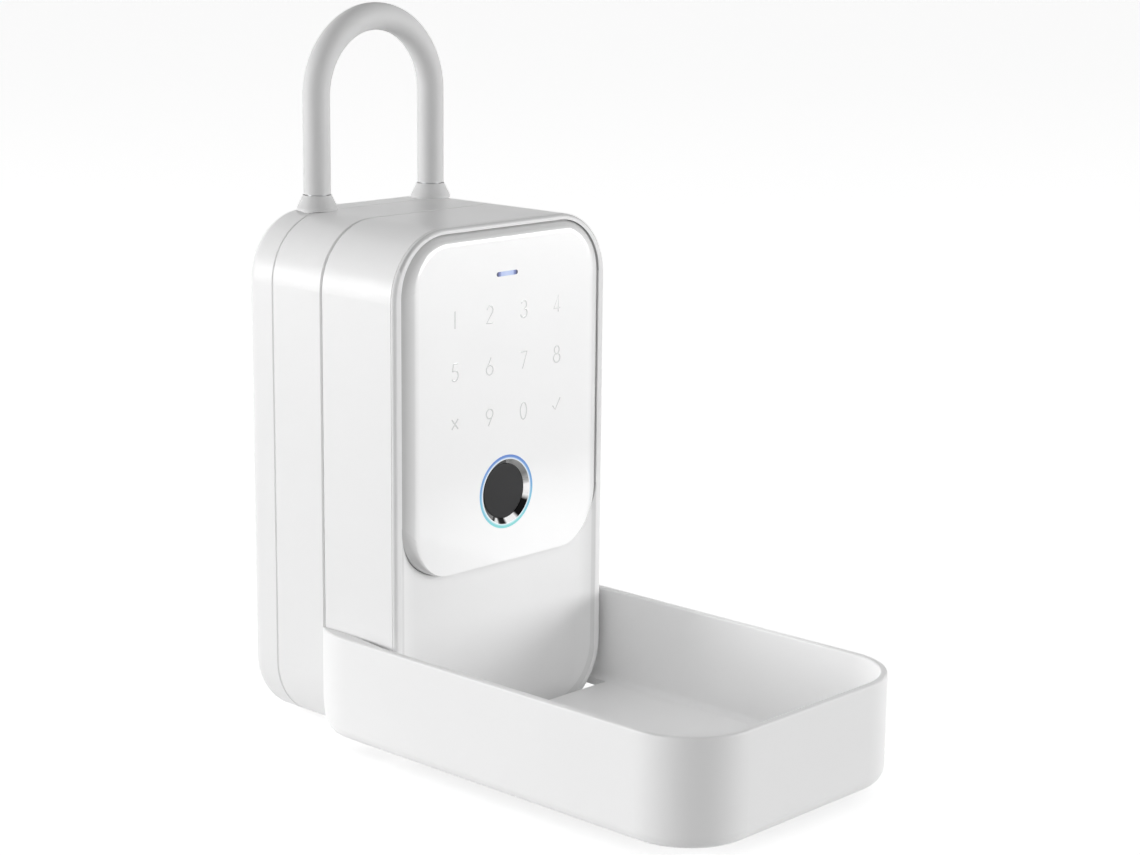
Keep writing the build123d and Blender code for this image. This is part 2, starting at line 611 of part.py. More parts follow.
def shackle_block():
    body = block(-BLOCK_HALF, BLOCK_HALF, BLOCK_FRONT, INNER_BACK, BLOCK_LOW, INNER_TOP)
    body &= slab(body_outline(SHELL_WALL), BLOCK_FRONT - 1, INNER_BACK + 1)
    body -= rod_z(-LEG_X, SHACKLE_BACK, CORE_RADIUS + RUNNING, BLOCK_LOW - 1, INNER_TOP + 1)
    body -= rod_z(LEG_X, SHACKLE_BACK, CORE_RADIUS + RUNNING, SHORT_LEG_END - 1, INNER_TOP + 1)
    for x in (-LEG_X, LEG_X):
        body -= rod_z(x, SHACKLE_BACK, COLLAR_SPIGOT, INNER_TOP - COLLAR_SINK, INNER_TOP + 1)
    half_depth = LOCK_BAR_DEPTH / 2 + SLIDING
    body -= block(LOCK_BAR_TAIL - LOOSE, LEG_X, SHACKLE_BACK - half_depth, SHACKLE_BACK + half_depth,
                  LOCK_BAR_LOW - SLIDING, LOCK_BAR_HIGH + SLIDING)
    body -= block(TAB_LOW - LOOSE, TAB_HIGH + LOCK_BAR_TRAVEL + LOOSE,
                  BLOCK_FRONT - 1, SHACKLE_BACK, LOCK_BAR_LOW - SLIDING, LOCK_BAR_HIGH + SLIDING)
    for x, z in BLOCK_SCREWS:
        body -= rod_y(x, z, SCREW_RADIUS, BLOCK_FRONT - 1, INNER_BACK + 1)
    return body


def block_screws():
    head_y = BLOCK_FRONT - SCREW_HEAD_THICK
    return joined(screw(x, z, head_y, THREAD_END - BLOCK_FRONT) for x, z in BLOCK_SCREWS)


def shackle_collars():
    """Two tapered collars with spigots that pass down through the top wall."""
    bore = CORE_RADIUS + RUNNING
    low = -SHELL_WALL - COLLAR_SINK
    spigot = [(bore, low), (COLLAR_SPIGOT, low), (COLLAR_SPIGOT, 0)]
    foot = [(COLLAR_FOOT, 0), (COLLAR_FOOT, COLLAR_STEP)]
    neck = [(COLLAR_NECK, COLLAR_HEIGHT), (bore, COLLAR_HEIGHT)]
    profile = Polyline(*spigot, *foot, *neck, close=True)
    collar = revolve(Plane.XZ * make_face(profile), Axis.Z)
    return joined(Pos(x, SHACKLE_BACK, BODY_HEIGHT) * collar for x in (-LEG_X, LEG_X))


def key_hook():
    """A plate on the back wall with a round hook that rises at its end."""
    plate = block(-HOOK_WIDTH / 2, HOOK_WIDTH / 2, INNER_BACK - HOOK_PLATE, INNER_BACK,
                  HOOK_HEIGHT - HOOK_PLATE_LOW, HOOK_HEIGHT + HOOK_PLATE_HIGH)
    plate = fillet(plate.edges().filter_by(Axis.Y), HOOK_PLATE)
    start = INNER_BACK - HOOK_PLATE
    path = FilletPolyline((0, start, HOOK_HEIGHT), (0, start - HOOK_REACH, HOOK_HEIGHT),
                          (0, start - HOOK_REACH, HOOK_HEIGHT + HOOK_RISE), radius=HOOK_BEND)
    wire = sweep(Plane((0, start, HOOK_HEIGHT), z_dir=(0, -1, 0)) * Circle(HOOK_WIRE), path=path)
    hook = plate + wire
    for x, z in HOOK_SCREWS:
        hook -= rod_y(x, z, SMALL_SCREW_RADIUS, start - 1, INNER_BACK + 1)
    return hook


def hook_screws():
    front = INNER_BACK - HOOK_PLATE
    head_y = front - SCREW_HEAD_THICK
    return joined(screw(x, z, head_y, THREAD_END - front, SMALL_SCREW_RADIUS, SMALL_SCREW_HEAD)
                  for x, z in HOOK_SCREWS)


def hinge_pin():
    pin = rod_z(HINGE_X, 0, HINGE_PIN_RADIUS, HINGE_LOW - PIN_STAND, HINGE_HIGH + PIN_STAND)
    ends = edges_at(pin, "Z", HINGE_LOW - PIN_STAND) + edges_at(pin, "Z", HINGE_HIGH + PIN_STAND)
    return chamfer(ends, PIN_STAND)


# ---- shackle ----
def shackle_path(low_left, low_right):
    left = Line((-LEG_X, SHACKLE_BACK, low_left), (-LEG_X, SHACKLE_BACK, ARCH_HEIGHT))
    arch = ThreePointArc((-LEG_X, SHACKLE_BACK, ARCH_HEIGHT), (0, SHACKLE_BACK, ARCH_HEIGHT + LEG_X),
                         (LEG_X, SHACKLE_BACK, ARCH_HEIGHT))
    right = Line((LEG_X, SHACKLE_BACK, ARCH_HEIGHT), (LEG_X, SHACKLE_BACK, low_right))
    return left + arch + right


def shackle_rod(radius, low_left, low_right):
    path = shackle_path(low_left, low_right)
    section = Plane((-LEG_X, SHACKLE_BACK, low_left), z_dir=(0, 0, 1)) * Circle(radius)
    return sweep(section, path=path)


def shackle_core():
    """The steel bow: a long captive leg on the left and a short locking leg on the right."""
    core = shackle_rod(CORE_RADIUS, LONG_LEG_END, SHORT_LEG_END)
    ends = edges_at(core, "Z", SHORT_LEG_END) + edges_at(core, "Z", LONG_LEG_END)
    core = chamfer(ends, CORE_END_CHAMFER)
    inner_side = LEG_X - CORE_RADIUS
    core -= block(inner_side - 1, inner_side + NOTCH_DEPTH, SHACKLE_BACK - CORE_RADIUS - 1,
                  SHACKLE_BACK + CORE_RADIUS + 1, LOCK_BAR_LOW - NOTCH_ROOM, LOCK_BAR_HIGH + NOTCH_ROOM)
    groove = rod_z(-LEG_X, SHACKLE_BACK, CORE_RADIUS + 1, CLIP_LOW, CLIP_LOW + CLIP_THICK)
    groove -= rod_z(-LEG_X, SHACKLE_BACK, CLIP_GROOVE_RADIUS, CLIP_LOW, CLIP_LOW + CLIP_THICK)
    return core - groove


def shackle_sleeve():
    """The smooth sleeve over everything of the bow that shows above the collars."""
    sleeve = shackle_rod(SLEEVE_RADIUS, SLEEVE_LOW, SLEEVE_LOW)
    return sleeve - shackle_rod(CORE_RADIUS, SLEEVE_LOW - 1, SLEEVE_LOW - 1)


def shackle_clip():
    """An open retaining clip in the groove of the long leg."""
    clip = rod_z(-LEG_X, SHACKLE_BACK, CLIP_RADIUS, CLIP_LOW, CLIP_LOW + CLIP_THICK)
    clip -= rod_z(-LEG_X, SHACKLE_BACK, CLIP_GROOVE_RADIUS, CLIP_LOW - 1, CLIP_LOW + CLIP_THICK + 1)
    return clip - block(-LEG_X - CLIP_MOUTH, -LEG_X + CLIP_MOUTH, SHACKLE_BACK - CLIP_RADIUS - 1,
                        SHACKLE_BACK, CLIP_LOW - 1, CLIP_LOW + CLIP_THICK + 1)


def lock_bar():
    bar = block(LOCK_BAR_TAIL, LOCK_BAR_TIP, LOCK_BAR_FRONT, LOCK_BAR_FRONT + LOCK_BAR_DEPTH,
                LOCK_BAR_LOW, LOCK_BAR_HIGH)
    tip_top = ShapeList(e for e in bar.edges().filter_by(Axis.Y) if (e @ 0.5).X > LOCK_BAR_TIP - 0.1
                        and (e @ 0.5).Z > LOCK_BAR_CENTRE)
    return chamfer(tip_top, LOCK_BAR_CHAMFER)


def release_tab():
    """A thumb slider in front of the bay plate, on a stem that reaches the lock bar."""
    stem = block(TAB_LOW, TAB_HIGH, TAB_HEAD_BACK, LOCK_BAR_FRONT, LOCK_BAR_LOW, LOCK_BAR_HIGH)
    face = TAB_HEAD_BACK - TAB_HEAD_THICK
    low, high = LOCK_BAR_LOW - TAB_LIP, LOCK_BAR_HIGH + TAB_LIP
    head = block(TAB_LOW - TAB_LIP, TAB_HIGH + TAB_LIP, face, TAB_HEAD_BACK, low, high)
    head = fillet(head.edges().filter_by(Axis.Y), TAB_CORNER)
    tab = head + stem
    for step in (-1, 0, 1):
        x = (TAB_LOW + TAB_HIGH - TAB_GROOVE) / 2 + step * TAB_GROOVE_PITCH
        tab -= block(x, x + TAB_GROOVE, face - 1, face + TAB_GROOVE_DEPTH, low - 1, high + 1)
    return tab


# ---- door ----
def panel_outline(grow=0.0):
    return rounded(PANEL_WIDTH + 2 * grow, PANEL_LOW - grow, PANEL_HIGH + grow, PANEL_CORNER + grow)


def face_recess():
    """The hollow in the lower front of the door, with a slow curve up to the rim."""
    curve = (FACE_SLOPE ** 2 + FACE_RECESS ** 2) / (2 * FACE_RECESS)
    spread = math.sqrt(curve ** 2 - (curve - FACE_RECESS) ** 2)
    grow = curve - spread
    low = FACE_LOW_MARGIN - grow
    wide = BODY_WIDTH - 2 * FACE_SIDE_MARGIN + 2 * grow
    corner = BODY_CORNER - FACE_LOW_MARGIN + grow
    tool = slab(rounded(wide, low, BODY_HEIGHT, corner), RIM_Y - curve, FACE_Y)
    tool = fillet(edges_at(tool, "Y", FACE_Y), curve - FACE_CURVE_ROOM)
    return tool & block(-BODY_WIDTH, BODY_WIDTH, RIM_Y - curve, 0, -BODY_CORNER, PANEL_LOW + PANEL_CORNER)


def front_housing():
    shell = slab(body_outline(), RIM_Y, DOOR_BACK)
    shell = fillet(edges_at(shell, "Y", RIM_Y), RIM_EDGE)
    shell = chamfer(edges_at(shell, "Y", DOOR_BACK), SEAM_CHAMFER)
    line_y = RIM_Y + RIM_EDGE
    line = slab(body_outline(-1), line_y, line_y + RIM_LINE)
    shell -= line - slab(body_outline(RIM_LINE), line_y, line_y + RIM_LINE)
    shell -= slab(body_outline(SHELL_WALL), FACE_INNER_Y, DOOR_BACK + 1)
    for x, z in CORNER_SCREWS:
        post = rod_y(x, z, BOSS_RADIUS, FACE_INNER_Y, PLATE_FRONT)
        shell += post - rod_y(x, z, SCREW_RADIUS, PLATE_FRONT - INNER_SCREW_LENGTH, PLATE_FRONT + 1)
    for x, z in BOARD_POSTS:
        shell += rod_y(x, z, BOARD_POST_RADIUS, FACE_INNER_Y, BOARD_FRONT)
    shell -= face_recess()
    shell -= slab(panel_outline(PANEL_FIT), RIM_Y - 2, PANEL_BACK_Y)
    shell -= rod_y(0, SENSOR_HEIGHT, SENSOR_RADIUS + PANEL_FIT, PANEL_BACK_Y - 1, FACE_INNER_Y + 1)
    shell -= Pos(0, SOCKET_Y, 0) * extrude(stadium(SOCKET_WIDTH, SOCKET_DEPTH), SHELL_WALL * 2, both=True)
    for side in (-1, 1):
        span = sorted((side * (INNER_HALF - 1), side * (HALF_WIDTH + 1)))
        shell -= rod_x(-PIVOT_BACK, PIVOT_HEIGHT, PIVOT_RADIUS, *span)
    for z_low, z_high in CASE_KNUCKLES:
        shell -= knuckle_room(z_low, z_high)
    for z_low, z_high in DOOR_KNUCKLES:
        shell += knuckle(z_low, z_high, -1)
        shell -= rod_z(HINGE_X, 0, HINGE_PIN_RADIUS + RUNNING, z_low - 1, z_high + 1)
    return shell


def touch_panel():
    """A pane with a rounded front edge that is broad at the sides and narrow at the top."""
    curve = (PANEL_BEVEL_SIDE ** 2 + PANEL_BEVEL_DEPTH ** 2) / (2 * PANEL_BEVEL_DEPTH)
    sections = []
    for step in range(PANEL_STEPS + 1):
        rise = step / PANEL_STEPS
        side = PANEL_BEVEL_SIDE * rise
        left = PANEL_BEVEL_SIDE - side
        y = PANEL_FLAT_Y + curve - math.sqrt(curve ** 2 - left ** 2)
        high = PANEL_HIGH - PANEL_BEVEL_TOP * rise
        outline = rounded(PANEL_WIDTH - 2 * side, PANEL_LOW, high, PANEL_CORNER - side)
        sections.append(Plane((0, y, 0), x_dir=(1, 0, 0), z_dir=(0, -1, 0)) * outline)
    pane = loft(sections) + slab(panel_outline(), PANEL_EDGE_Y, PANEL_BACK_Y)
    pane -= rod_y(0, SENSOR_HEIGHT, RING_RADIUS, PANEL_FLAT_Y - 1, PANEL_BACK_Y + 1)
    return pane - slab(light_outline(), PANEL_FLAT_Y - 1, PANEL_BACK_Y + 1)


def light_outline():
    return Pos(0, LIGHT_HEIGHT) * stadium(LIGHT_LENGTH, LIGHT_WIDTH)


def status_light():
    return slab(light_outline(), PANEL_FLAT_Y, PANEL_BACK_Y)


def light_ring():
    ring = rod_y(0, SENSOR_HEIGHT, RING_RADIUS, PANEL_FLAT_Y, PANEL_BACK_Y)
    return ring - rod_y(0, SENSOR_HEIGHT, BEZEL_RADIUS, PANEL_FLAT_Y - 1, PANEL_BACK_Y + 1)


def sensor_bezel():
    """A metal ring whose front slopes down to the reader."""
    bezel = rod_y(0, SENSOR_HEIGHT, BEZEL_RADIUS, PANEL_FLAT_Y, PANEL_BACK_Y)
    bezel -= rod_y(0, SENSOR_HEIGHT, SENSOR_RADIUS, PANEL_FLAT_Y - 1, PANEL_BACK_Y + 1)
    slope = Pos(0, PANEL_FLAT_Y + SENSOR_DISH / 2, SENSOR_HEIGHT) * Rot(90, 0, 0) * Cone(
        SENSOR_RADIUS, BEZEL_RADIUS - BEZEL_LIP, SENSOR_DISH)
    return bezel - slope


def fingerprint_sensor():
    face = PANEL_FLAT_Y + SENSOR_DISH
    reader = rod_y(0, SENSOR_HEIGHT, SENSOR_RADIUS, face, PANEL_FLAT_Y + SENSOR_BODY_DEPTH)
    return fillet(edges_at(reader, "Y", face), SENSOR_EDGE)


def control_board():
    return block(-BOARD_WIDTH / 2, BOARD_WIDTH / 2, BOARD_FRONT, BOARD_BACK, BOARD_LOW, BOARD_HIGH)


def board_chips():
    """Packages and a plug on the back of the board, clear of the motor."""
    back = BOARD_BACK + CHIP_THICK
    room = BOARD_HIGH - BOARD_LOW
    places = [(x, BOARD_LOW + share * room, wide, high) for x, share, wide, high in CHIPS]
    return joined(block(x, x + wide, BOARD_BACK, back, z, z + high) for x, z, wide, high in places)


def inner_plate():
    """The plate that closes the back of the door."""
    plate = slab(body_outline(PLATE_INSET), PLATE_FRONT, PLATE_BACK)
    for x, z in CORNER_SCREWS:
        plate -= rod_y(x, z, SCREW_RADIUS + RUNNING, PLATE_FRONT - 1, PLATE_BACK + 1)
        plate -= rod_y(x, z, SCREW_HEAD + SLIDING, PLATE_BACK - SCREW_HEAD_THICK, PLATE_BACK + 1)
    plate -= block(KEEPER_BACK - KEEPER_SWING, KEEPER_FACE + LOOSE, PLATE_FRONT - 1,
                   PLATE_BACK + 1, KEEPER_LOW - LOOSE, KEEPER_HIGH + LOOSE)
    plate -= block(-LID_HALF - LID_FIT, LID_HALF + LID_FIT, LID_FRONT, PLATE_BACK + 1,
                   LID_LOW - LID_FIT, LID_HIGH + LID_FIT)
    plate -= block(-HOLDER_INNER_HALF, HOLDER_INNER_HALF, PLATE_FRONT - 1, PLATE_BACK,
                   HOLDER_LOW + HOLDER_WALL, HOLDER_HIGH - HOLDER_WALL)
    plate += rod_y(0, LID_SCREW_HEIGHT, BOSS_RADIUS, PLATE_FRONT - LID_BOSS, PLATE_FRONT)
    plate -= rod_y(0, LID_SCREW_HEIGHT, SMALL_SCREW_RADIUS, PLATE_FRONT - LID_BOSS - 1, PLATE_BACK)
    return plate


def back_screw(x, z, head_y, length, radius=SCREW_RADIUS, head=SCREW_HEAD):
    """A screw driven from the back, with the face of its head at head_y."""
    return Pos(x, head_y, z) * Rot(0, 0, 180) * screw(0, 0, 0, length, radius, head)


def inner_plate_screws():
    return joined(back_screw(x, z, PLATE_BACK, INNER_PLATE_THICK - SCREW_HEAD_THICK + INNER_SCREW_LENGTH)
                  for x, z in CORNER_SCREWS)


def battery_holder():
    """An open tray for the cells, with a low rib between each pair."""
    half = HOLDER_INNER_HALF + HOLDER_WALL
    low, high = HOLDER_LOW + HOLDER_WALL, HOLDER_HIGH - HOLDER_WALL
    tray = block(-half, half, HOLDER_FRONT, PLATE_FRONT, HOLDER_LOW, HOLDER_HIGH)
    tray -= block(-HOLDER_INNER_HALF, HOLDER_INNER_HALF, HOLDER_FLOOR, PLATE_FRONT + 1, low, high)
    for x in CELL_PLACES[:-1]:
        edge = x + (CELL_PITCH - RIB_WIDTH) / 2
        tray += block(edge, edge + RIB_WIDTH, HOLDER_FLOOR, HOLDER_FLOOR + RIB_HEIGHT, low, high)
    return tray


def batteries():
    """The cells stand with their tips up and down by turns."""
    can = rod_z(0, 0, CELL_RADIUS, -CELL_LENGTH / 2, CELL_LENGTH / 2 - CELL_TIP)
    can = fillet(can.edges().filter_by(GeomType.CIRCLE), CELL_EDGE)
    cell = can + rod_z(0, 0, CELL_NUB, 0, CELL_LENGTH / 2)
    middle = (CELL_LOW + CELL_HIGH) / 2
    return joined(Pos(x, CELL_Y, middle) * Rot(180 * (index % 2), 0, 0) * cell
                  for index, x in enumerate(CELL_PLACES))


def battery_contacts():
    """Metal strips at both ends of the cells."""
    strips = []
    for x in CELL_PLACES:
        for low in (CELL_LOW - CONTACT_THICK, CELL_HIGH):
            strips.append(block(x - CONTACT_HALF, x + CONTACT_HALF, CELL_Y - CONTACT_HALF,
                                CELL_Y + CONTACT_HALF, low, low + CONTACT_THICK))
    return joined(strips)


def battery_lid():
    lid = block(-LID_HALF, LID_HALF, LID_FRONT, PLATE_BACK, LID_LOW, LID_HIGH)
    return lid - rod_y(0, LID_SCREW_HEIGHT, SMALL_SCREW_RADIUS + RUNNING, LID_FRONT - 1, PLATE_BACK + 1)


def battery_lid_screw():
    return back_screw(0, LID_SCREW_HEIGHT, PLATE_BACK + SCREW_HEAD_THICK, LID_SCREW_LENGTH,
                      SMALL_SCREW_RADIUS, SMALL_SCREW_HEAD)


def latch_chassis():
    """A base with two guides for the bolt and a cradle for the motor."""
    base = block(GUIDES[0][0], GUIDES[1][1], CHASSIS_FRONT, PLATE_FRONT, CHASSIS_LOW, CHASSIS_HIGH)
    for x_low, x_high in GUIDES:
        base += block(x_low, x_high, BOLT_FRONT - GUIDE_WALL, CHASSIS_FRONT, CHASSIS_LOW, CHASSIS_HIGH)
        base -= block(x_low - 1, x_high + 1, BOLT_FRONT - SLIDING, CHASSIS_FRONT,
                      BOLT_LOW - SLIDING, BOLT_HIGH + SLIDING)
    cradle = block(MOTOR_LEFT - CRADLE_WALL, MOTOR_RIGHT + CRADLE_WALL, PINION_Y, PLATE_FRONT,
                   CRADLE_LOW, CRADLE_HIGH)
    cradle -= block(MOTOR_LEFT, MOTOR_RIGHT, PINION_Y - 1, PINION_Y + MOTOR_DEPTH / 2,
                    MOTOR_LOW, MOTOR_HIGH)
    foot = block(MOTOR_LEFT - CRADLE_WALL, MOTOR_RIGHT + CRADLE_WALL, CHASSIS_FRONT, PLATE_FRONT,
                 CHASSIS_LOW, CRADLE_HIGH)
    return base + cradle + foot


def latch_motor():
    """A small gear motor with a bushing below for the shaft of the pinion."""
    can = rod_z(PINION_X, PINION_Y, MOTOR_WIDTH / 2, MOTOR_LOW, MOTOR_HIGH)
    can &= block(MOTOR_LEFT, MOTOR_RIGHT, PINION_Y - MOTOR_DEPTH / 2,
                 PINION_Y + MOTOR_DEPTH / 2, MOTOR_LOW, MOTOR_HIGH)
    can += rod_z(PINION_X, PINION_Y, BUSHING_RADIUS, BOLT_HIGH + SLIDING, MOTOR_LOW)
    return can - rod_z(PINION_X, PINION_Y, MOTOR_SHAFT + RUNNING, BOLT_HIGH, SHAFT_TOP + SLIDING)


def cover_pivot_pins():
    """Pins pressed outwards through the side walls, with their heads inside the door."""
    pins = []
    for side in (-1, 1):
        inner = side * INNER_HALF
        outer = side * (EAR_INNER + PIVOT_DEPTH - SLIDING)
        head = side * (INNER_HALF - PIVOT_HEAD_THICK)
        pin = rod_x(-PIVOT_BACK, PIVOT_HEIGHT, PIVOT_RADIUS, *sorted((inner, outer)))
        pin += rod_x(-PIVOT_BACK, PIVOT_HEIGHT, PIVOT_HEAD, *sorted((inner, head)))
        pins.append(pin)
    return joined(pins)


def power_socket():
    """A socket in the bottom wall on a small upright board."""
    place = Pos(0, SOCKET_Y, SOCKET_SINK)
    mouth = stadium(SOCKET_WIDTH - 2 * SOCKET_WALL, SOCKET_DEPTH - 2 * SOCKET_WALL)
    height = SOCKET_HEIGHT - SOCKET_SINK
    shell = extrude(stadium(SOCKET_WIDTH, SOCKET_DEPTH), height) - extrude(mouth, height - SOCKET_WALL)
    tongue = extrude(Rectangle(SOCKET_WIDTH / 2, SOCKET_WALL * 2), height - SOCKET_WALL)
    tongue = Pos(0, 0, SOCKET_WALL) * tongue
    back = SOCKET_Y + SOCKET_DEPTH / 2
    half = SOCKET_BOARD_WIDTH / 2
    board = block(-half, half, back, back + SOCKET_BOARD_THICK, SHELL_WALL, SOCKET_BOARD_HEIGHT)
    return place * (shell + tongue) + board


# ---- latch ----
def involute(radius):
    """The involute angle at this radius of the pinion."""
    slope = math.sqrt(max(radius ** 2 - BASE_RADIUS ** 2, 0)) / BASE_RADIUS
    return slope - math.atan(slope)


def latch_pinion():
    """An involute pinion with a tooth that points at the rack, on a shaft that runs in the motor."""
    half = math.pi / (2 * PINION_TEETH) + involute(PITCH_RADIUS) - BACKLASH / (2 * PITCH_RADIUS)
    tip = PITCH_RADIUS + TOOTH_MODULE
    root = PITCH_RADIUS - PINION_DEDENDUM
    radii = [BASE_RADIUS + (tip - BASE_RADIUS) * step / FLANK_STEPS for step in range(FLANK_STEPS + 1)]
    flank = [(root, half)] + [(radius, half - involute(radius)) for radius in radii]
    points = []
    for tooth in range(PINION_TEETH):
        centre = math.pi / 2 + tooth * 2 * math.pi / PINION_TEETH
        for radius, angle in flank:
            points.append((radius * math.cos(centre - angle), radius * math.sin(centre - angle)))
        for radius, angle in reversed(flank):
            points.append((radius * math.cos(centre + angle), radius * math.sin(centre + angle)))
    gear = extrude(make_face(Polyline(*points, close=True)), BOLT_HEIGHT)
    shaft = rod_z(0, 0, MOTOR_SHAFT, 0, SHAFT_TOP - BOLT_LOW)
    return Pos(PINION_X, PINION_Y, BOLT_LOW) * (gear + shaft)


def latch_bolt():
    """A sliding bolt with rack teeth on its front."""
    bolt = block(BOLT_TIP, BOLT_TAIL, BOLT_FRONT, -BOLT_BACK, BOLT_LOW, BOLT_HIGH)
    tip = ShapeList(e for e in bolt.edges() if abs((e @ 0.5).X - BOLT_TIP) < 1e-3)
    bolt = chamfer(tip, BOLT_CHAMFER)
    tip_half = TOOTH_PITCH / 4 - RACK_ADDENDUM * TOOTH_LEAN
    root_half = TOOTH_PITCH / 4 + RACK_DEDENDUM * TOOTH_LEAN
    tip_y = PITCH_Y - RACK_ADDENDUM
    profile = Polyline((-root_half, BOLT_FRONT), (-tip_half, tip_y), (tip_half, tip_y),
                       (root_half, BOLT_FRONT), close=True)
    tooth = extrude(make_face(profile), BOLT_HEIGHT)
    for index in range(RACK_TEETH):
        bolt += Pos(RACK_LEFT + (index + 0.5) * TOOTH_PITCH, 0, BOLT_LOW) * tooth
    return bolt


# ---- flip cover ----
def cover_plan():
    """The outline of the cover from above: round far corners, and ears that close in on the case."""
    half = COVER_HALF
    drop = half - EAR_END
    length = EAR_CURVE_START - EAR_BACK
    bend = (length ** 2 + drop ** 2) / (2 * drop)
    mid_y = -EAR_CURVE_START + length / 2
    mid_x = half - bend + math.sqrt(bend ** 2 - (length / 2) ** 2)
    left = Line((-half, COVER_CORNER - COVER_REACH), (-half, -EAR_CURVE_START))
    left_ear = ThreePointArc((-half, -EAR_CURVE_START), (-mid_x, mid_y), (-EAR_END, -EAR_BACK))
    rear = Line((-EAR_END, -EAR_BACK), (EAR_END, -EAR_BACK))
    right_ear = ThreePointArc((EAR_END, -EAR_BACK), (mid_x, mid_y), (half, -EAR_CURVE_START))
    right = Line((half, -EAR_CURVE_START), (half, COVER_CORNER - COVER_REACH))
    corner_y = COVER_CORNER - COVER_REACH
    far_right = RadiusArc((half, corner_y), (half - COVER_CORNER, -COVER_REACH), COVER_CORNER)
    far = Line((half - COVER_CORNER, -COVER_REACH), (COVER_CORNER - half, -COVER_REACH))
    far_left = RadiusArc((COVER_CORNER - half, -COVER_REACH), (-half, corner_y), COVER_CORNER)
    return make_face(left + left_ear + rear + right_ear + right + far_right + far + far_left)


def cover_cavity():
    """The inside of the tray, which narrows between the ears to sit close to the door."""
    half = COVER_HALF - COVER_WALL
    inner = EAR_INNER
    reach = COVER_REACH - COVER_WALL
    corner = COVER_CORNER - COVER_WALL
    plan = Pos(0, (COVER_CORNER - reach) / 2) * RectangleRounded(2 * half, reach + COVER_CORNER, corner)
    room = Pos(0, 0, COVER_FLOOR) * extrude(plan, COVER_RIM)
    room = fillet(edges_at(room, "Z", COVER_FLOOR), COVER_INNER_EDGE)
    narrow = Polyline((-half, -COVER_REACH), (-half, EAR_TAPER_FRONT), (-inner, EAR_TAPER_BACK),
                      (-inner, COVER_CORNER), (inner, COVER_CORNER), (inner, EAR_TAPER_BACK),
                      (half, EAR_TAPER_FRONT), (half, -COVER_REACH), close=True)
    return room & extrude(make_face(narrow), COVER_RIM * 2)


def flip_cover():
    height = COVER_RIM - COVER_BOTTOM
    shell = Pos(0, 0, COVER_BOTTOM) * extrude(cover_plan(), height)
    bottom = ShapeList(e for e in edges_at(shell, "Z", COVER_BOTTOM) if (e @ 0.5).Y < -EAR_BACK - 0.1)
    shell = fillet(bottom, COVER_EDGE)
    shell -= cover_cavity()
    shell -= block(-EAR_INNER, EAR_INNER, COVER_FLOOR_BACK, COVER_CORNER, 0, COVER_RIM + 1)
    shell &= extrude(Plane.YZ * rounded_ear(), COVER_HALF * 2, both=True)
    rim = ShapeList(e for e in edges_at(shell, "Z", COVER_RIM) if (e @ 0.5).Y < -EAR_CURVE_START)
    shell = fillet(rim, COVER_RIM_EDGE)
    for side in (-1, 1):
        span = sorted((side * (EAR_INNER - 1), side * (EAR_INNER + PIVOT_DEPTH)))
        shell -= rod_x(-PIVOT_BACK, PIVOT_HEIGHT, PIVOT_RADIUS + RUNNING, *span)
    return shell


def rounded_ear():
    """The side view of the cover: square everywhere but at the lower back corner."""
    corner = EAR_LOW_CORNER
    far = -COVER_REACH - 1
    back = -EAR_BACK
    low = COVER_BOTTOM
    edge = Polyline((back, low + corner), (back, COVER_RIM), (far, COVER_RIM), (far, low),
                    (back - corner, low))
    curve = RadiusArc((back - corner, low), (back, low + corner), -corner)
    return make_face(edge + curve)


# ---- parts ----
PARTS = {
    "rear_cover": rear_cover,
    "mid_housing": mid_housing,
    "case_screws": case_screws,
    "door_seal": door_seal,
    "bay_plate": bay_plate,
    "bay_plate_screws": bay_screws,
    "latch_keeper": latch_keeper,
    "shackle_block": shackle_block,
    "block_screws": block_screws,
    "shackle_collars": shackle_collars,
    "key_hook": key_hook,
    "hook_screws": hook_screws,
    "hinge_pin": hinge_pin,
    "shackle_core": shackle_core,
    "shackle_sleeve": shackle_sleeve,
    "shackle_clip": shackle_clip,
    "lock_bar": lock_bar,
    "release_tab": release_tab,
    "front_housing": front_housing,
    "touch_panel": touch_panel,
    "status_light": status_light,
    "light_ring": light_ring,
    "sensor_bezel": sensor_bezel,
    "fingerprint_sensor": fingerprint_sensor,
    "control_board": control_board,
    "board_chips": board_chips,
    "inner_plate": inner_plate,
    "inner_plate_screws": inner_plate_screws,
    "battery_holder": battery_holder,
    "batteries": batteries,
    "battery_contacts": battery_contacts,
    "battery_lid": battery_lid,
    "battery_lid_screw": battery_lid_screw,
    "latch_chassis": latch_chassis,
    "latch_motor": latch_motor,
    "cover_pivot_pins": cover_pivot_pins,
    "power_socket": power_socket,
    "latch_pinion": latch_pinion,
    "latch_bolt": latch_bolt,
    "flip_cover": flip_cover,
}

os.makedirs("parts", exist_ok=True)
for name, make in PARTS.items():
    export_step(ORIGIN * make(), f"parts/{name}.step")
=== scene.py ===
import bpy
import math
from mathutils import Matrix, Vector


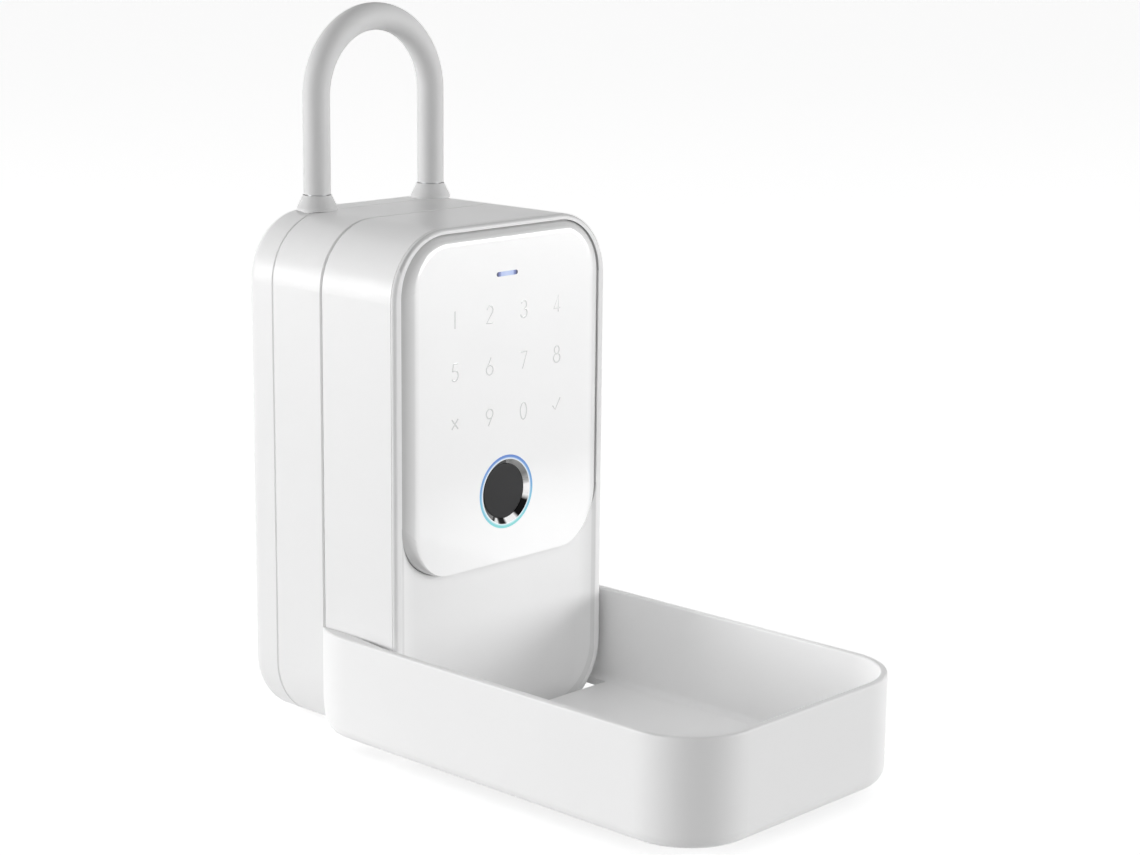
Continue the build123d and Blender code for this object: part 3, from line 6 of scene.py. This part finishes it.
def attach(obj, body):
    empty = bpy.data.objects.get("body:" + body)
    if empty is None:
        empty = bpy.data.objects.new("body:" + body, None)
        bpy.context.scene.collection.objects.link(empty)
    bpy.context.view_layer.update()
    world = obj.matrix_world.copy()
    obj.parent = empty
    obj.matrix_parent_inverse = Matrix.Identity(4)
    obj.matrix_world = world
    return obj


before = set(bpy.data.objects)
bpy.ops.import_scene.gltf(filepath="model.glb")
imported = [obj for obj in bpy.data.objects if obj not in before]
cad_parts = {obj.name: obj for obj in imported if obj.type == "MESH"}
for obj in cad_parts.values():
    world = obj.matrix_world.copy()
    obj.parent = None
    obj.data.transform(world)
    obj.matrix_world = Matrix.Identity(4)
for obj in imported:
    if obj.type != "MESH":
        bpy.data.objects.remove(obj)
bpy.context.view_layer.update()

# Lengths that go through at() are in millimetres in the model's own frame: x from the middle, y from the
# door seam, z from the underside of the case. at() turns them into metres of the row frame.
CASE_DEPTH = 27.0
HALF_HEIGHT = 62.3
SENSOR_HEIGHT = 60.0
RING_RADIUS = 8.9
RIM_FRONT = -24.3
CELL_SPAN = (7.0, 51.5)

# Distances measured in a material, in metres
RING_INNER_FADE = (0.0079, 0.0084)
BAR_HALF_LENGTH = 0.0035
RIM_HALF_SPAN = 0.0328

# Finishes
SHELL_ROUGH = 0.31
SHELL_SPECULAR = 0.25
SHELL_GRAIN = (3000.0, 0.04)
SHELL_DRIFT = 24.0
SHELL_TONES = (239, 240)
# Painted light: the cover is the shell's white plastic, made lighter to make up for the light on its sides
COVER_PAINTED_LIGHT_TONES = (244, 245)
GRAIN_DEPTH = 0.00002
LIGHT_STRENGTH = 0.96

# Camera, in millimetres, fitted to the photograph
SENSOR_WIDTH = 36.0
FOCAL_LENGTH = 79.72

# Printed keypad symbols, in millimetres
STROKE = 0.36
LEGEND_Y = -25.9
LEGEND_FLATNESS = 0.12
SYMBOL_HEIGHT = 4.05
COLUMNS = (-17.0, -5.68, 5.68, 17.0)
ROW_HEIGHTS = (103.3, 91.05, 78.8)

# Studio, in metres and watts. SKY_SPAN is the stretch, with level as 0 and straight up as 1, over which
# the world's light weakens from WORLD_LIGHT to WORLD_LIGHT_ABOVE.
WORLD_LIGHT = 0.46
WORLD_LIGHT_ABOVE = 0.30
SKY_SPAN = (0.05, 0.95)
FLOOR_GREY = (0.86, 0.86, 0.86, 1)
FLOOR_LIFT = 0.60
FLOOR_HALF = 4.0
FLOOR_GAP = 0.0002
LAMP_SIZE = (1.0, 0.7)
LAMP_TARGET = (0, -0.05, 0)


def at(x, y, z):
    return Vector((x, y - CASE_DEPTH, z - HALF_HEIGHT)) / 1000.0


# ---- camera ----
def make_camera():
    data = bpy.data.cameras.new("camera")
    camera = bpy.data.objects.new("camera", data)
    bpy.context.collection.objects.link(camera)
    right = Vector((0.68548961, -0.72801442, 0.00994998))
    up = Vector((0.14773484, 0.15246108, 0.97720522))
    ahead = Vector((0.71293647, 0.66839407, -0.21206358))
    place = at(-415.35, -435.85, 202.30)
    camera.matrix_world = Matrix((
        (right.x, up.x, -ahead.x, place.x),
        (right.y, up.y, -ahead.y, place.y),
        (right.z, up.z, -ahead.z, place.z),
        (0, 0, 0, 1)))
    data.sensor_fit = "HORIZONTAL"
    data.sensor_width = SENSOR_WIDTH
    data.lens = FOCAL_LENGTH
    data.clip_start = 0.01
    data.clip_end = 20.0
    bpy.context.scene.camera = camera


# ---- materials ----
def srgb(value):
    value = value / 255.0
    return value / 12.92 if value <= 0.04045 else ((value + 0.055) / 1.055) ** 2.4


def tone(red, green=None, blue=None):
    green = red if green is None else green
    blue = red if blue is None else blue
    return (srgb(red), srgb(green), srgb(blue), 1.0)


def feed(tree, value, target):
    """Gives an input its value: the output of another node, or a plain number or colour."""
    if isinstance(value, bpy.types.NodeSocket):
        tree.links.new(value, target)
    else:
        target.default_value = value


def calc(tree, operation, first, second=None):
    """A math node on one or two values."""
    made = tree.nodes.new("ShaderNodeMath")
    made.operation = operation
    feed(tree, first, made.inputs[0])
    if second is not None:
        feed(tree, second, made.inputs[1])
    return made.outputs["Value"]


def spread(tree, source, low, high, new_low, new_high):
    """A value carried from one range to another."""
    made = tree.nodes.new("ShaderNodeMapRange")
    for name, value in (("Value", source), ("From Min", low), ("From Max", high),
                        ("To Min", new_low), ("To Max", new_high)):
        feed(tree, value, made.inputs[name])
    return made.outputs["Result"]


class Paint:
    """A procedural material: a principled shader with the nodes that drive it."""

    def __init__(self, name, color, rough=0.4, metal=0.0, coat=0.0, coat_rough=0.03, ior=None,
                 specular=None):
        self.material = bpy.data.materials.new(name)
        self.material.use_nodes = True
        self.tree = self.material.node_tree
        self.shader = self.tree.nodes["Principled BSDF"]
        self.shader.inputs["Base Color"].default_value = color
        self.shader.inputs["Roughness"].default_value = rough
        self.shader.inputs["Metallic"].default_value = metal
        self.shader.inputs["Coat Weight"].default_value = coat
        self.shader.inputs["Coat Roughness"].default_value = coat_rough
        if ior is not None:
            self.shader.inputs["IOR"].default_value = ior
        if specular is not None:
            self.shader.inputs["Specular IOR Level"].default_value = specular
        self.coords = self.tree.nodes.new("ShaderNodeTexCoord")
        self.place = self.coords.outputs["Object"]

    def node(self, kind, **values):
        made = self.tree.nodes.new(kind)
        for key, value in values.items():
            setattr(made, key, value)
        return made

    def link(self, source, target):
        self.tree.links.new(source, target)

    def split(self, vector):
        made = self.node("ShaderNodeSeparateXYZ")
        self.link(vector, made.inputs["Vector"])
        return made.outputs

    def calc(self, operation, first, second=None):
        return calc(self.tree, operation, first, second)

    def spread(self, source, low, high, new_low, new_high):
        return spread(self.tree, source, low, high, new_low, new_high)

    def mix(self, factor, first, second):
        """A colour between two others."""
        made = self.node("ShaderNodeMix", data_type="RGBA")
        for name, value in (("Factor", factor), ("A", first), ("B", second)):
            feed(self.tree, value, made.inputs[name])
        return made.outputs["Result"]

    def from_sensor(self):
        """The place measured from the middle of the sensor, which ring, bezel and sensor share."""
        made = self.node("ShaderNodeVectorMath", operation="SUBTRACT")
        made.inputs[1].default_value = at(0, 0, SENSOR_HEIGHT)
        self.link(self.place, made.inputs[0])
        return made.outputs["Vector"]

    def climb(self, low, high):
        """0 at one height of the model and 1 at another."""
        return self.spread(self.split(self.place)["Z"], at(0, 0, low).z, at(0, 0, high).z, 0.0, 1.0)

    def stretched(self, x, y, z):
        mapping = self.node("ShaderNodeMapping")
        mapping.inputs["Scale"].default_value = (x, y, z)
        self.link(self.place, mapping.inputs["Vector"])
        return mapping.outputs["Vector"]

    def noise(self, scale, detail=2.0, source=None):
        made = self.node("ShaderNodeTexNoise")
        made.inputs["Scale"].default_value = scale
        made.inputs["Detail"].default_value = detail
        self.link(source or self.place, made.inputs["Vector"])
        return made.outputs["Fac"]

    def ramp(self, source, stops, smooth=True):
        made = self.node("ShaderNodeValToRGB")
        made.color_ramp.interpolation = "EASE" if smooth else "LINEAR"
        elements = made.color_ramp.elements
        while len(elements) < len(stops):
            elements.new(0.5)
        for element, (position, color) in zip(elements, stops):
            element.position = position
            element.color = color
        self.link(source, made.inputs["Fac"])
        return made.outputs["Color"]

    def drift(self, scale, first, second, source=None):
        """A colour that wanders between two near colours."""
        return self.ramp(self.noise(scale, source=source), [(0.3, first), (0.7, second)])

    def mottle(self, scale, first, second, source=None):
        self.link(self.drift(scale, first, second, source), self.shader.inputs["Base Color"])

    def rough_noise(self, scale, low, high, source=None):
        self.link(self.spread(self.noise(scale, source=source), 0.25, 0.75, low, high),
                  self.shader.inputs["Roughness"])

    def grain(self, scale, strength, source=None):
        """A fine moulded or brushed texture as bump."""
        bump = self.node("ShaderNodeBump")
        bump.inputs["Strength"].default_value = strength
        bump.inputs["Distance"].default_value = GRAIN_DEPTH
        self.link(self.noise(scale, 3.0, source), bump.inputs["Height"])
        self.link(bump.outputs["Normal"], self.shader.inputs["Normal"])


def shell_paint(name, high):
    """Satin moulded plastic with a very fine texture, whose base colour is still to be set."""
    paint = Paint(name, tone(high), SHELL_ROUGH, specular=SHELL_SPECULAR)
    paint.rough_noise(160.0, SHELL_ROUGH - 0.02, SHELL_ROUGH + 0.03)
    paint.grain(*SHELL_GRAIN)
    return paint


def shell_white(name, low, high):
    paint = shell_paint(name, high)
    paint.mottle(SHELL_DRIFT, tone(low), tone(high))
    return paint.material


def edge_painted_shade(paint, stops):
    """Painted shade: a colour that follows the turn of the surface, 0 faces the front, 1 is well round the
    edge.
    """
    geometry = paint.node("ShaderNodeNewGeometry")
    normal = paint.node("ShaderNodeVectorTransform", vector_type="NORMAL", convert_from="WORLD",
                        convert_to="OBJECT")
    paint.link(geometry.outputs["Normal"], normal.inputs["Vector"])
    facing = paint.spread(paint.split(normal.outputs["Vector"])["Y"], -1.0, -1.0 + EDGE_TURN, 0.0, 1.0)
    return paint.ramp(facing, stops, smooth=False)


# How far the normal's y leaves -1 at the end of the ramp, and the painted shade tones on the way there,
# darker as the edge turns away
EDGE_TURN = 0.16
GLASS_PAINTED_SHADE_STOPS = [(0.0, tone(253)), (0.03, tone(249)), (0.16, tone(229)), (1.0, tone(206))]
FRONT_PAINTED_SHADE_STOPS = [(0.0, tone(243)), (0.03, tone(241)), (0.20, tone(230)), (1.0, tone(212))]


def glass_white():
    """A white pane under a clear hard gloss, with painted shade that greys its edge as it turns away from
    the front.
    """
    paint = Paint("panel_gloss", tone(238), 0.30, coat=1.0, coat_rough=0.015, ior=1.6)
    paint.shader.inputs["Coat IOR"].default_value = 1.7
    # Painted shade on the pane's bevel, darker as it turns away from the front
    paint.link(edge_painted_shade(paint, GLASS_PAINTED_SHADE_STOPS), paint.shader.inputs["Base Color"])
    paint.rough_noise(90.0, 0.28, 0.34)
    return paint.material


def front_white():
    """The white of the shell, with painted shade that greys it where the rim turns away across its top and
    foot.
    """
    paint = shell_paint("front_white", SHELL_TONES[1])
    place = paint.split(paint.place)
    inside = paint.calc("LESS_THAN", paint.calc("ABSOLUTE", place["X"]), RIM_HALF_SPAN)
    ahead = paint.calc("LESS_THAN", place["Y"], at(0, RIM_FRONT, 0).y)
    low, high = SHELL_TONES
    shell = paint.drift(SHELL_DRIFT, tone(low), tone(high))
    # Painted shade inside the rim, darker where the face turns away from the front
    rim = paint.calc("MULTIPLY", inside, ahead)
    color = paint.mix(rim, shell, edge_painted_shade(paint, FRONT_PAINTED_SHADE_STOPS))
    paint.link(color, paint.shader.inputs["Base Color"])
    return paint.material


def light_paint(name, color):
    """Lit plastic: the light gives its colour, which color() makes, and the lens itself is dark."""
    paint = Paint(name, tone(50), 0.35, specular=0.3)
    paint.shader.inputs["Emission Strength"].default_value = LIGHT_STRENGTH
    paint.link(color(paint), paint.shader.inputs["Emission Color"])
    paint.rough_noise(400.0, 0.3, 0.4)
    return paint.material


def ring_color(paint):
    """Blue at the top to aqua at the bottom, whiter towards the inner edge."""
    rise = paint.climb(SENSOR_HEIGHT - RING_RADIUS, SENSOR_HEIGHT + RING_RADIUS)
    color = paint.ramp(rise, [(0.0, tone(128, 214, 214)), (0.30, tone(122, 192, 216)),
                              (0.62, tone(100, 156, 212)), (1.0, tone(82, 128, 202))])
    flat = paint.node("ShaderNodeVectorMath", operation="MULTIPLY")
    flat.inputs[1].default_value = (1.0, 0.0, 1.0)
    paint.link(paint.from_sensor(), flat.inputs[0])
    length = paint.node("ShaderNodeVectorMath", operation="LENGTH")
    paint.link(flat.outputs["Vector"], length.inputs[0])
    outward = paint.spread(length.outputs["Value"], *RING_INNER_FADE, 0.0, 1.0)
    return paint.mix(outward, tone(240, 248, 252), color)


def bar_color(paint):
    """Pale blue in the middle and deep blue at both ends."""
    away = paint.calc("ABSOLUTE", paint.split(paint.place)["X"])
    end = paint.spread(away, 0.0, BAR_HALF_LENGTH, 0.0, 1.0)
    return paint.ramp(end, [(0.0, tone(188, 202, 236)), (0.50, tone(176, 192, 232)),
                            (0.72, tone(104, 118, 178)), (0.92, tone(30, 36, 82))])


def metal(name, color, rough, grain=0.15, stretch=(1, 1, 30)):
    """Metal with fine drawn or ground lines."""
    paint = Paint(name, color, rough, metal=1.0)
    source = paint.stretched(*stretch)
    paint.mottle(60.0, tuple(c * 0.94 for c in color[:3]) + (1.0,), color, source=source)
    paint.rough_noise(300.0, max(rough - 0.05, 0.02), rough + 0.06, source=source)
    if grain:
        paint.grain(900.0, grain, source=source)
    return paint.material


def bezel_chrome_painted_reflections():
    """Polished plating with painted reflections: dark and light patches set by the angle round its bore."""
    paint = Paint("bezel_plating_painted_reflections", tone(228), 0.07, metal=1.0)
    place = paint.split(paint.from_sensor())
    turn = paint.spread(paint.calc("ARCTAN2", place["Z"], place["X"]), -math.pi, math.pi, 0.0, 1.0)
    # Painted reflection: dark and light greys of a studio, set by the angle round the bore
    painted_reflection_patches = [(0.0, 232), (0.19, 232), (0.205, 26), (0.244, 26), (0.258, 240), (0.322, 240), (0.34, 20),
               (0.43, 24), (0.455, 236), (0.53, 240), (0.578, 156), (0.667, 176), (0.778, 186), (0.861, 226)]
    color = paint.ramp(turn, [(where, tone(grey)) for where, grey in painted_reflection_patches], smooth=False)
    paint.link(color, paint.shader.inputs["Base Color"])
    paint.rough_noise(500.0, 0.05, 0.10)
    return paint.material


def plastic(name, low, high, rough=0.5, grain=0.2, specular=None):
    paint = Paint(name, high, rough, specular=specular)
    paint.mottle(40.0, low, high)
    paint.rough_noise(200.0, rough - 0.06, rough + 0.06)
    paint.grain(2600.0, grain)
    return paint.material


def cell_jacket():
    """A plain wrapped can: dark with a paler band at one end."""
    paint = Paint("cell_jacket", tone(60, 62, 68), 0.35, metal=0.4)
    color = paint.ramp(paint.climb(*CELL_SPAN), [
        (0.0, tone(176, 178, 182)), (0.02, tone(52, 54, 60)), (0.78, tone(56, 58, 64)),
        (0.80, tone(150, 152, 158)), (0.98, tone(176, 178, 182))], smooth=False)
    paint.link(color, paint.shader.inputs["Base Color"])
    paint.rough_noise(120.0, 0.3, 0.42)
    return paint.material


def board_green():
    """Solder mask with a faint pattern of tracks."""
    paint = Paint("board_green", tone(18, 84, 48), 0.35)
    brick = paint.node("ShaderNodeTexBrick")
    brick.inputs["Scale"].default_value = 160.0
    brick.inputs["Color1"].default_value = tone(16, 84, 46)
    brick.inputs["Color2"].default_value = tone(18, 92, 52)
    brick.inputs["Mortar"].default_value = tone(30, 118, 70)
    turned = paint.node("ShaderNodeMapping")
    turned.inputs["Rotation"].default_value = (math.pi / 2, 0, 0)
    paint.link(paint.place, turned.inputs["Vector"])
    paint.link(turned.outputs["Vector"], brick.inputs["Vector"])
    paint.link(brick.outputs["Color"], paint.shader.inputs["Base Color"])
    paint.rough_noise(150.0, 0.28, 0.4)
    return paint.material


def rubber(name, low, high, rough=0.62, grain=0.12):
    paint = Paint(name, high, rough)
    paint.mottle(18.0, low, high)
    paint.rough_noise(220.0, rough - 0.05, rough + 0.06)
    paint.grain(3400.0, grain)
    return paint.material


def make_materials():
    steel = metal("plain_steel", tone(196, 197, 200), 0.32)
    screw = metal("screw_steel", tone(186, 187, 190), 0.36)
    inner = plastic("inner_plastic", tone(214), tone(222), 0.5)
    dark = plastic("dark_plastic", tone(38), tone(46), 0.45)
    chrome = metal("bright_plating", tone(225, 226, 228), 0.06, grain=0.0)
    housing = shell_white("shell_white", *SHELL_TONES)
    return {
        "rear_cover": housing,
        "mid_housing": housing,
        "front_housing": front_white(),
        # The cover's white carries painted light: the shell's white made lighter
        "flip_cover": shell_white("cover_white_painted_light", *COVER_PAINTED_LIGHT_TONES),
        "touch_panel": glass_white(),
        "status_light": light_paint("bar_light", bar_color),
        "light_ring": light_paint("ring_light", ring_color),
        "sensor_bezel": bezel_chrome_painted_reflections(),
        "fingerprint_sensor": plastic("sensor_black", tone(36, 36, 37), tone(41, 41, 42), 0.40, 0.06,
                                      specular=0.18),
        "shackle_sleeve": rubber("grey_sleeve", tone(217), tone(222)),
        "shackle_collars": rubber("grey_collar", tone(214), tone(220), 0.5),
        "shackle_core": steel,
        "shackle_clip": steel,
        "lock_bar": steel,
        "latch_keeper": steel,
        "latch_bolt": steel,
        "hinge_pin": steel,
        "cover_pivot_pins": steel,
        "release_tab": dark,
        "shackle_block": metal("cast_zinc", tone(176, 177, 180), 0.48, 0.3, (1, 1, 1)),
        "case_screws": screw,
        "bay_plate_screws": screw,
        "block_screws": screw,
        "hook_screws": screw,
        "inner_plate_screws": screw,
        "battery_lid_screw": screw,
        "key_hook": chrome,
        "door_seal": rubber("seal_rubber", tone(46), tone(54), 0.7),
        "bay_plate": inner,
        "inner_plate": inner,
        "battery_lid": inner,
        "battery_holder": dark,
        "batteries": cell_jacket(),
        "battery_contacts": metal("contact_metal", tone(214, 210, 200), 0.28),
        "control_board": board_green(),
        "board_chips": plastic("chip_black", tone(26), tone(32), 0.4, 0.1),
        "latch_chassis": dark,
        "latch_motor": metal("motor_can", tone(190, 191, 194), 0.3),
        "latch_pinion": metal("brass_gear", tone(206, 172, 98), 0.28),
        "power_socket": metal("socket_shell", tone(205, 206, 208), 0.25),
    }


def dress_nodes():
    for name, material in make_materials().items():
        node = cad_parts[name]
        if not node.material_slots:
            node.data.materials.append(material)
        for slot in node.material_slots:
            slot.material = material


# ---- keypad legends ----
def arc(cx, cz, rx, rz, start, end, steps=20):
    points = []
    for step in range(steps + 1):
        angle = math.radians(start + (end - start) * step / steps)
        points.append((cx + rx * math.cos(angle), cz + rz * math.sin(angle)))
    return points


# Each symbol is drawn in a cell one unit high, with its foot at 0 and its middle at x = 0.
SYMBOLS = {
    "1": [[(0.0, 0.0), (0.0, 1.0)]],
    "2": [arc(0.0, 0.74, 0.24, 0.26, 172, -28) + [(-0.27, 0.0), (0.27, 0.0)]],
    "3": [arc(-0.02, 0.76, 0.22, 0.24, 160, -90) + arc(-0.02, 0.27, 0.27, 0.27, 90, -165)[1:]],
    "4": [[(0.10, 0.0), (0.10, 1.0), (-0.28, 0.24), (0.27, 0.24)]],
    "5": [[(0.24, 1.0), (-0.12, 1.0), (-0.19, 0.60)] + arc(-0.02, 0.31, 0.28, 0.31, 122, -142)],
    "6": [[(0.10, 1.0), (-0.22, 0.42)], arc(0.0, 0.28, 0.27, 0.28, 150, 510, 32)],
    "7": [[(-0.26, 1.0), (0.26, 1.0), (-0.10, 0.0)]],
    "8": [arc(0.0, 0.76, 0.20, 0.24, 270, 630, 30), arc(0.0, 0.27, 0.27, 0.27, 90, 450, 34)],
    "9": [[(-0.10, 0.0), (0.22, 0.58)], arc(0.0, 0.72, 0.27, 0.28, -30, 330, 32)],
    "0": [arc(0.0, 0.5, 0.26, 0.5, 90, 450, 36)],
    "clear": [[(-0.25, 0.22), (0.25, 0.80)], [(-0.25, 0.80), (0.25, 0.22)]],
    "enter": [[(-0.32, 0.44), (-0.10, 0.18), (0.32, 0.86)]],
}
ROWS = (("1", "2", "3", "4"), ("5", "6", "7", "8"), ("clear", "9", "0", "enter"))


def legend(name, strokes, x, z, material):
    """One printed symbol: round strokes pressed nearly flat into the face of the panel."""
    curve = bpy.data.curves.new(name, "CURVE")
    curve.dimensions = "3D"
    curve.bevel_depth = STROKE / 2000.0
    curve.bevel_resolution = 2
    curve.use_fill_caps = True
    for stroke in strokes:
        closed = math.dist(stroke[0], stroke[-1]) < 1e-6
        points = stroke[:-1] if closed else stroke
        spline = curve.splines.new("POLY")
        spline.points.add(len(points) - 1)
        spline.use_cyclic_u = closed
        for point, (px, pz) in zip(spline.points, points):
            place = at(x + px * SYMBOL_HEIGHT, LEGEND_Y, z + (pz - 0.5) * SYMBOL_HEIGHT)
            point.co = (place.x, place.y, place.z, 1.0)
    holder = bpy.data.objects.new(name + "_curve", curve)
    bpy.context.collection.objects.link(holder)
    bpy.context.view_layer.update()
    mesh = bpy.data.meshes.new_from_object(holder)
    bpy.data.objects.remove(holder)
    face = at(0, LEGEND_Y, 0).y
    for vertex in mesh.vertices:
        vertex.co.y = face + (vertex.co.y - face) * LEGEND_FLATNESS
    mesh.materials.clear()
    mesh.materials.append(material)
    piece = bpy.data.objects.new(name, mesh)
    bpy.context.collection.objects.link(piece)
    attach(piece, "door")


def make_legends():
    paint = Paint("legend_ink", tone(214), 0.35, coat=1.0, coat_rough=0.02)
    paint.shader.inputs["Coat IOR"].default_value = 1.9
    paint.mottle(400.0, tone(212), tone(218))
    for row, height in zip(ROWS, ROW_HEIGHTS):
        for symbol, x in zip(row, COLUMNS):
            legend(f"legend_{symbol}", SYMBOLS[symbol], x, height, paint.material)


# ---- surroundings ----
def background_rays(tree):
    """1 for camera, mirror and glass rays, and 0 for the rays that carry light to the object."""
    path = tree.nodes.new("ShaderNodeLightPath").outputs
    seen = calc(tree, "MAXIMUM", path["Is Camera Ray"], path["Is Glossy Ray"])
    return calc(tree, "MAXIMUM", seen, path["Is Transmission Ray"])


def make_world():
    """White as it is seen, and a plain soft light, a little weaker from above, on the object."""
    world = bpy.data.worlds.new("studio")
    world.use_nodes = True
    bpy.context.scene.world = world
    tree = world.node_tree
    background = tree.nodes["Background"]
    background.inputs["Color"].default_value = (1, 1, 1, 1)
    toward = tree.nodes.new("ShaderNodeTexCoord")
    split = tree.nodes.new("ShaderNodeSeparateXYZ")
    tree.links.new(toward.outputs["Generated"], split.inputs["Vector"])
    sky = spread(tree, split.outputs["Z"], *SKY_SPAN, WORLD_LIGHT, WORLD_LIGHT_ABOVE)
    strength = spread(tree, background_rays(tree), 0.0, 1.0, sky, 1.0)
    tree.links.new(strength, background.inputs["Strength"])


def make_floor():
    """A pale floor, lifted towards white only as it is seen, so that the object's shadow stays on it."""
    mesh = bpy.data.meshes.new("floor")
    half = FLOOR_HALF
    z = at(0, 0, 0).z - FLOOR_GAP
    corners = [(-half, -half, z), (half, -half, z), (half, half, z), (-half, half, z)]
    mesh.from_pydata(corners, [], [(0, 1, 2, 3)])
    floor = bpy.data.objects.new("floor", mesh)
    bpy.context.collection.objects.link(floor)
    material = bpy.data.materials.new("floor_white")
    material.use_nodes = True
    tree = material.node_tree
    shader = tree.nodes["Principled BSDF"]
    shader.inputs["Base Color"].default_value = FLOOR_GREY
    shader.inputs["Roughness"].default_value = 0.7
    shader.inputs["Specular IOR Level"].default_value = 0.1
    white = tree.nodes.new("ShaderNodeEmission")
    white.inputs["Color"].default_value = (1, 1, 1, 1)
    both = tree.nodes.new("ShaderNodeAddShader")
    lift = calc(tree, "MULTIPLY", background_rays(tree), FLOOR_LIFT)
    tree.links.new(lift, white.inputs["Strength"])
    tree.links.new(shader.outputs["BSDF"], both.inputs[0])
    tree.links.new(white.outputs["Emission"], both.inputs[1])
    tree.links.new(both.outputs["Shader"], tree.nodes["Material Output"].inputs["Surface"])
    mesh.materials.append(material)


def lamp(name, place, target, size, power):
    data = bpy.data.lights.new(name, "AREA")
    data.shape = "RECTANGLE"
    data.size, data.size_y = size
    data.energy = power
    light = bpy.data.objects.new(name, data)
    bpy.context.collection.objects.link(light)
    light.location = place
    light.rotation_euler = (Vector(target) - Vector(place)).to_track_quat("-Z", "Y").to_euler()
    return light


def make_lamps():
    """Two large soft lamps, and a small card over the tray that lights its inside."""
    lamp("left", (-1.30, 0.92, 0.08), LAMP_TARGET, LAMP_SIZE, 24.2)
    lamp("front_right", (1.05, -1.25, 0.10), LAMP_TARGET, LAMP_SIZE, 16.6)
    fill = lamp("tray_fill", at(14, -70, 62), at(14, -64, 0), (0.06, 0.05), 0.0085)
    fill.visible_camera = False
    fill.visible_glossy = False


make_camera()
dress_nodes()
make_legends()
make_world()
make_floor()
make_lamps()
bpy.context.scene.view_settings.view_transform = "Standard"

bpy.context.view_layer.update()
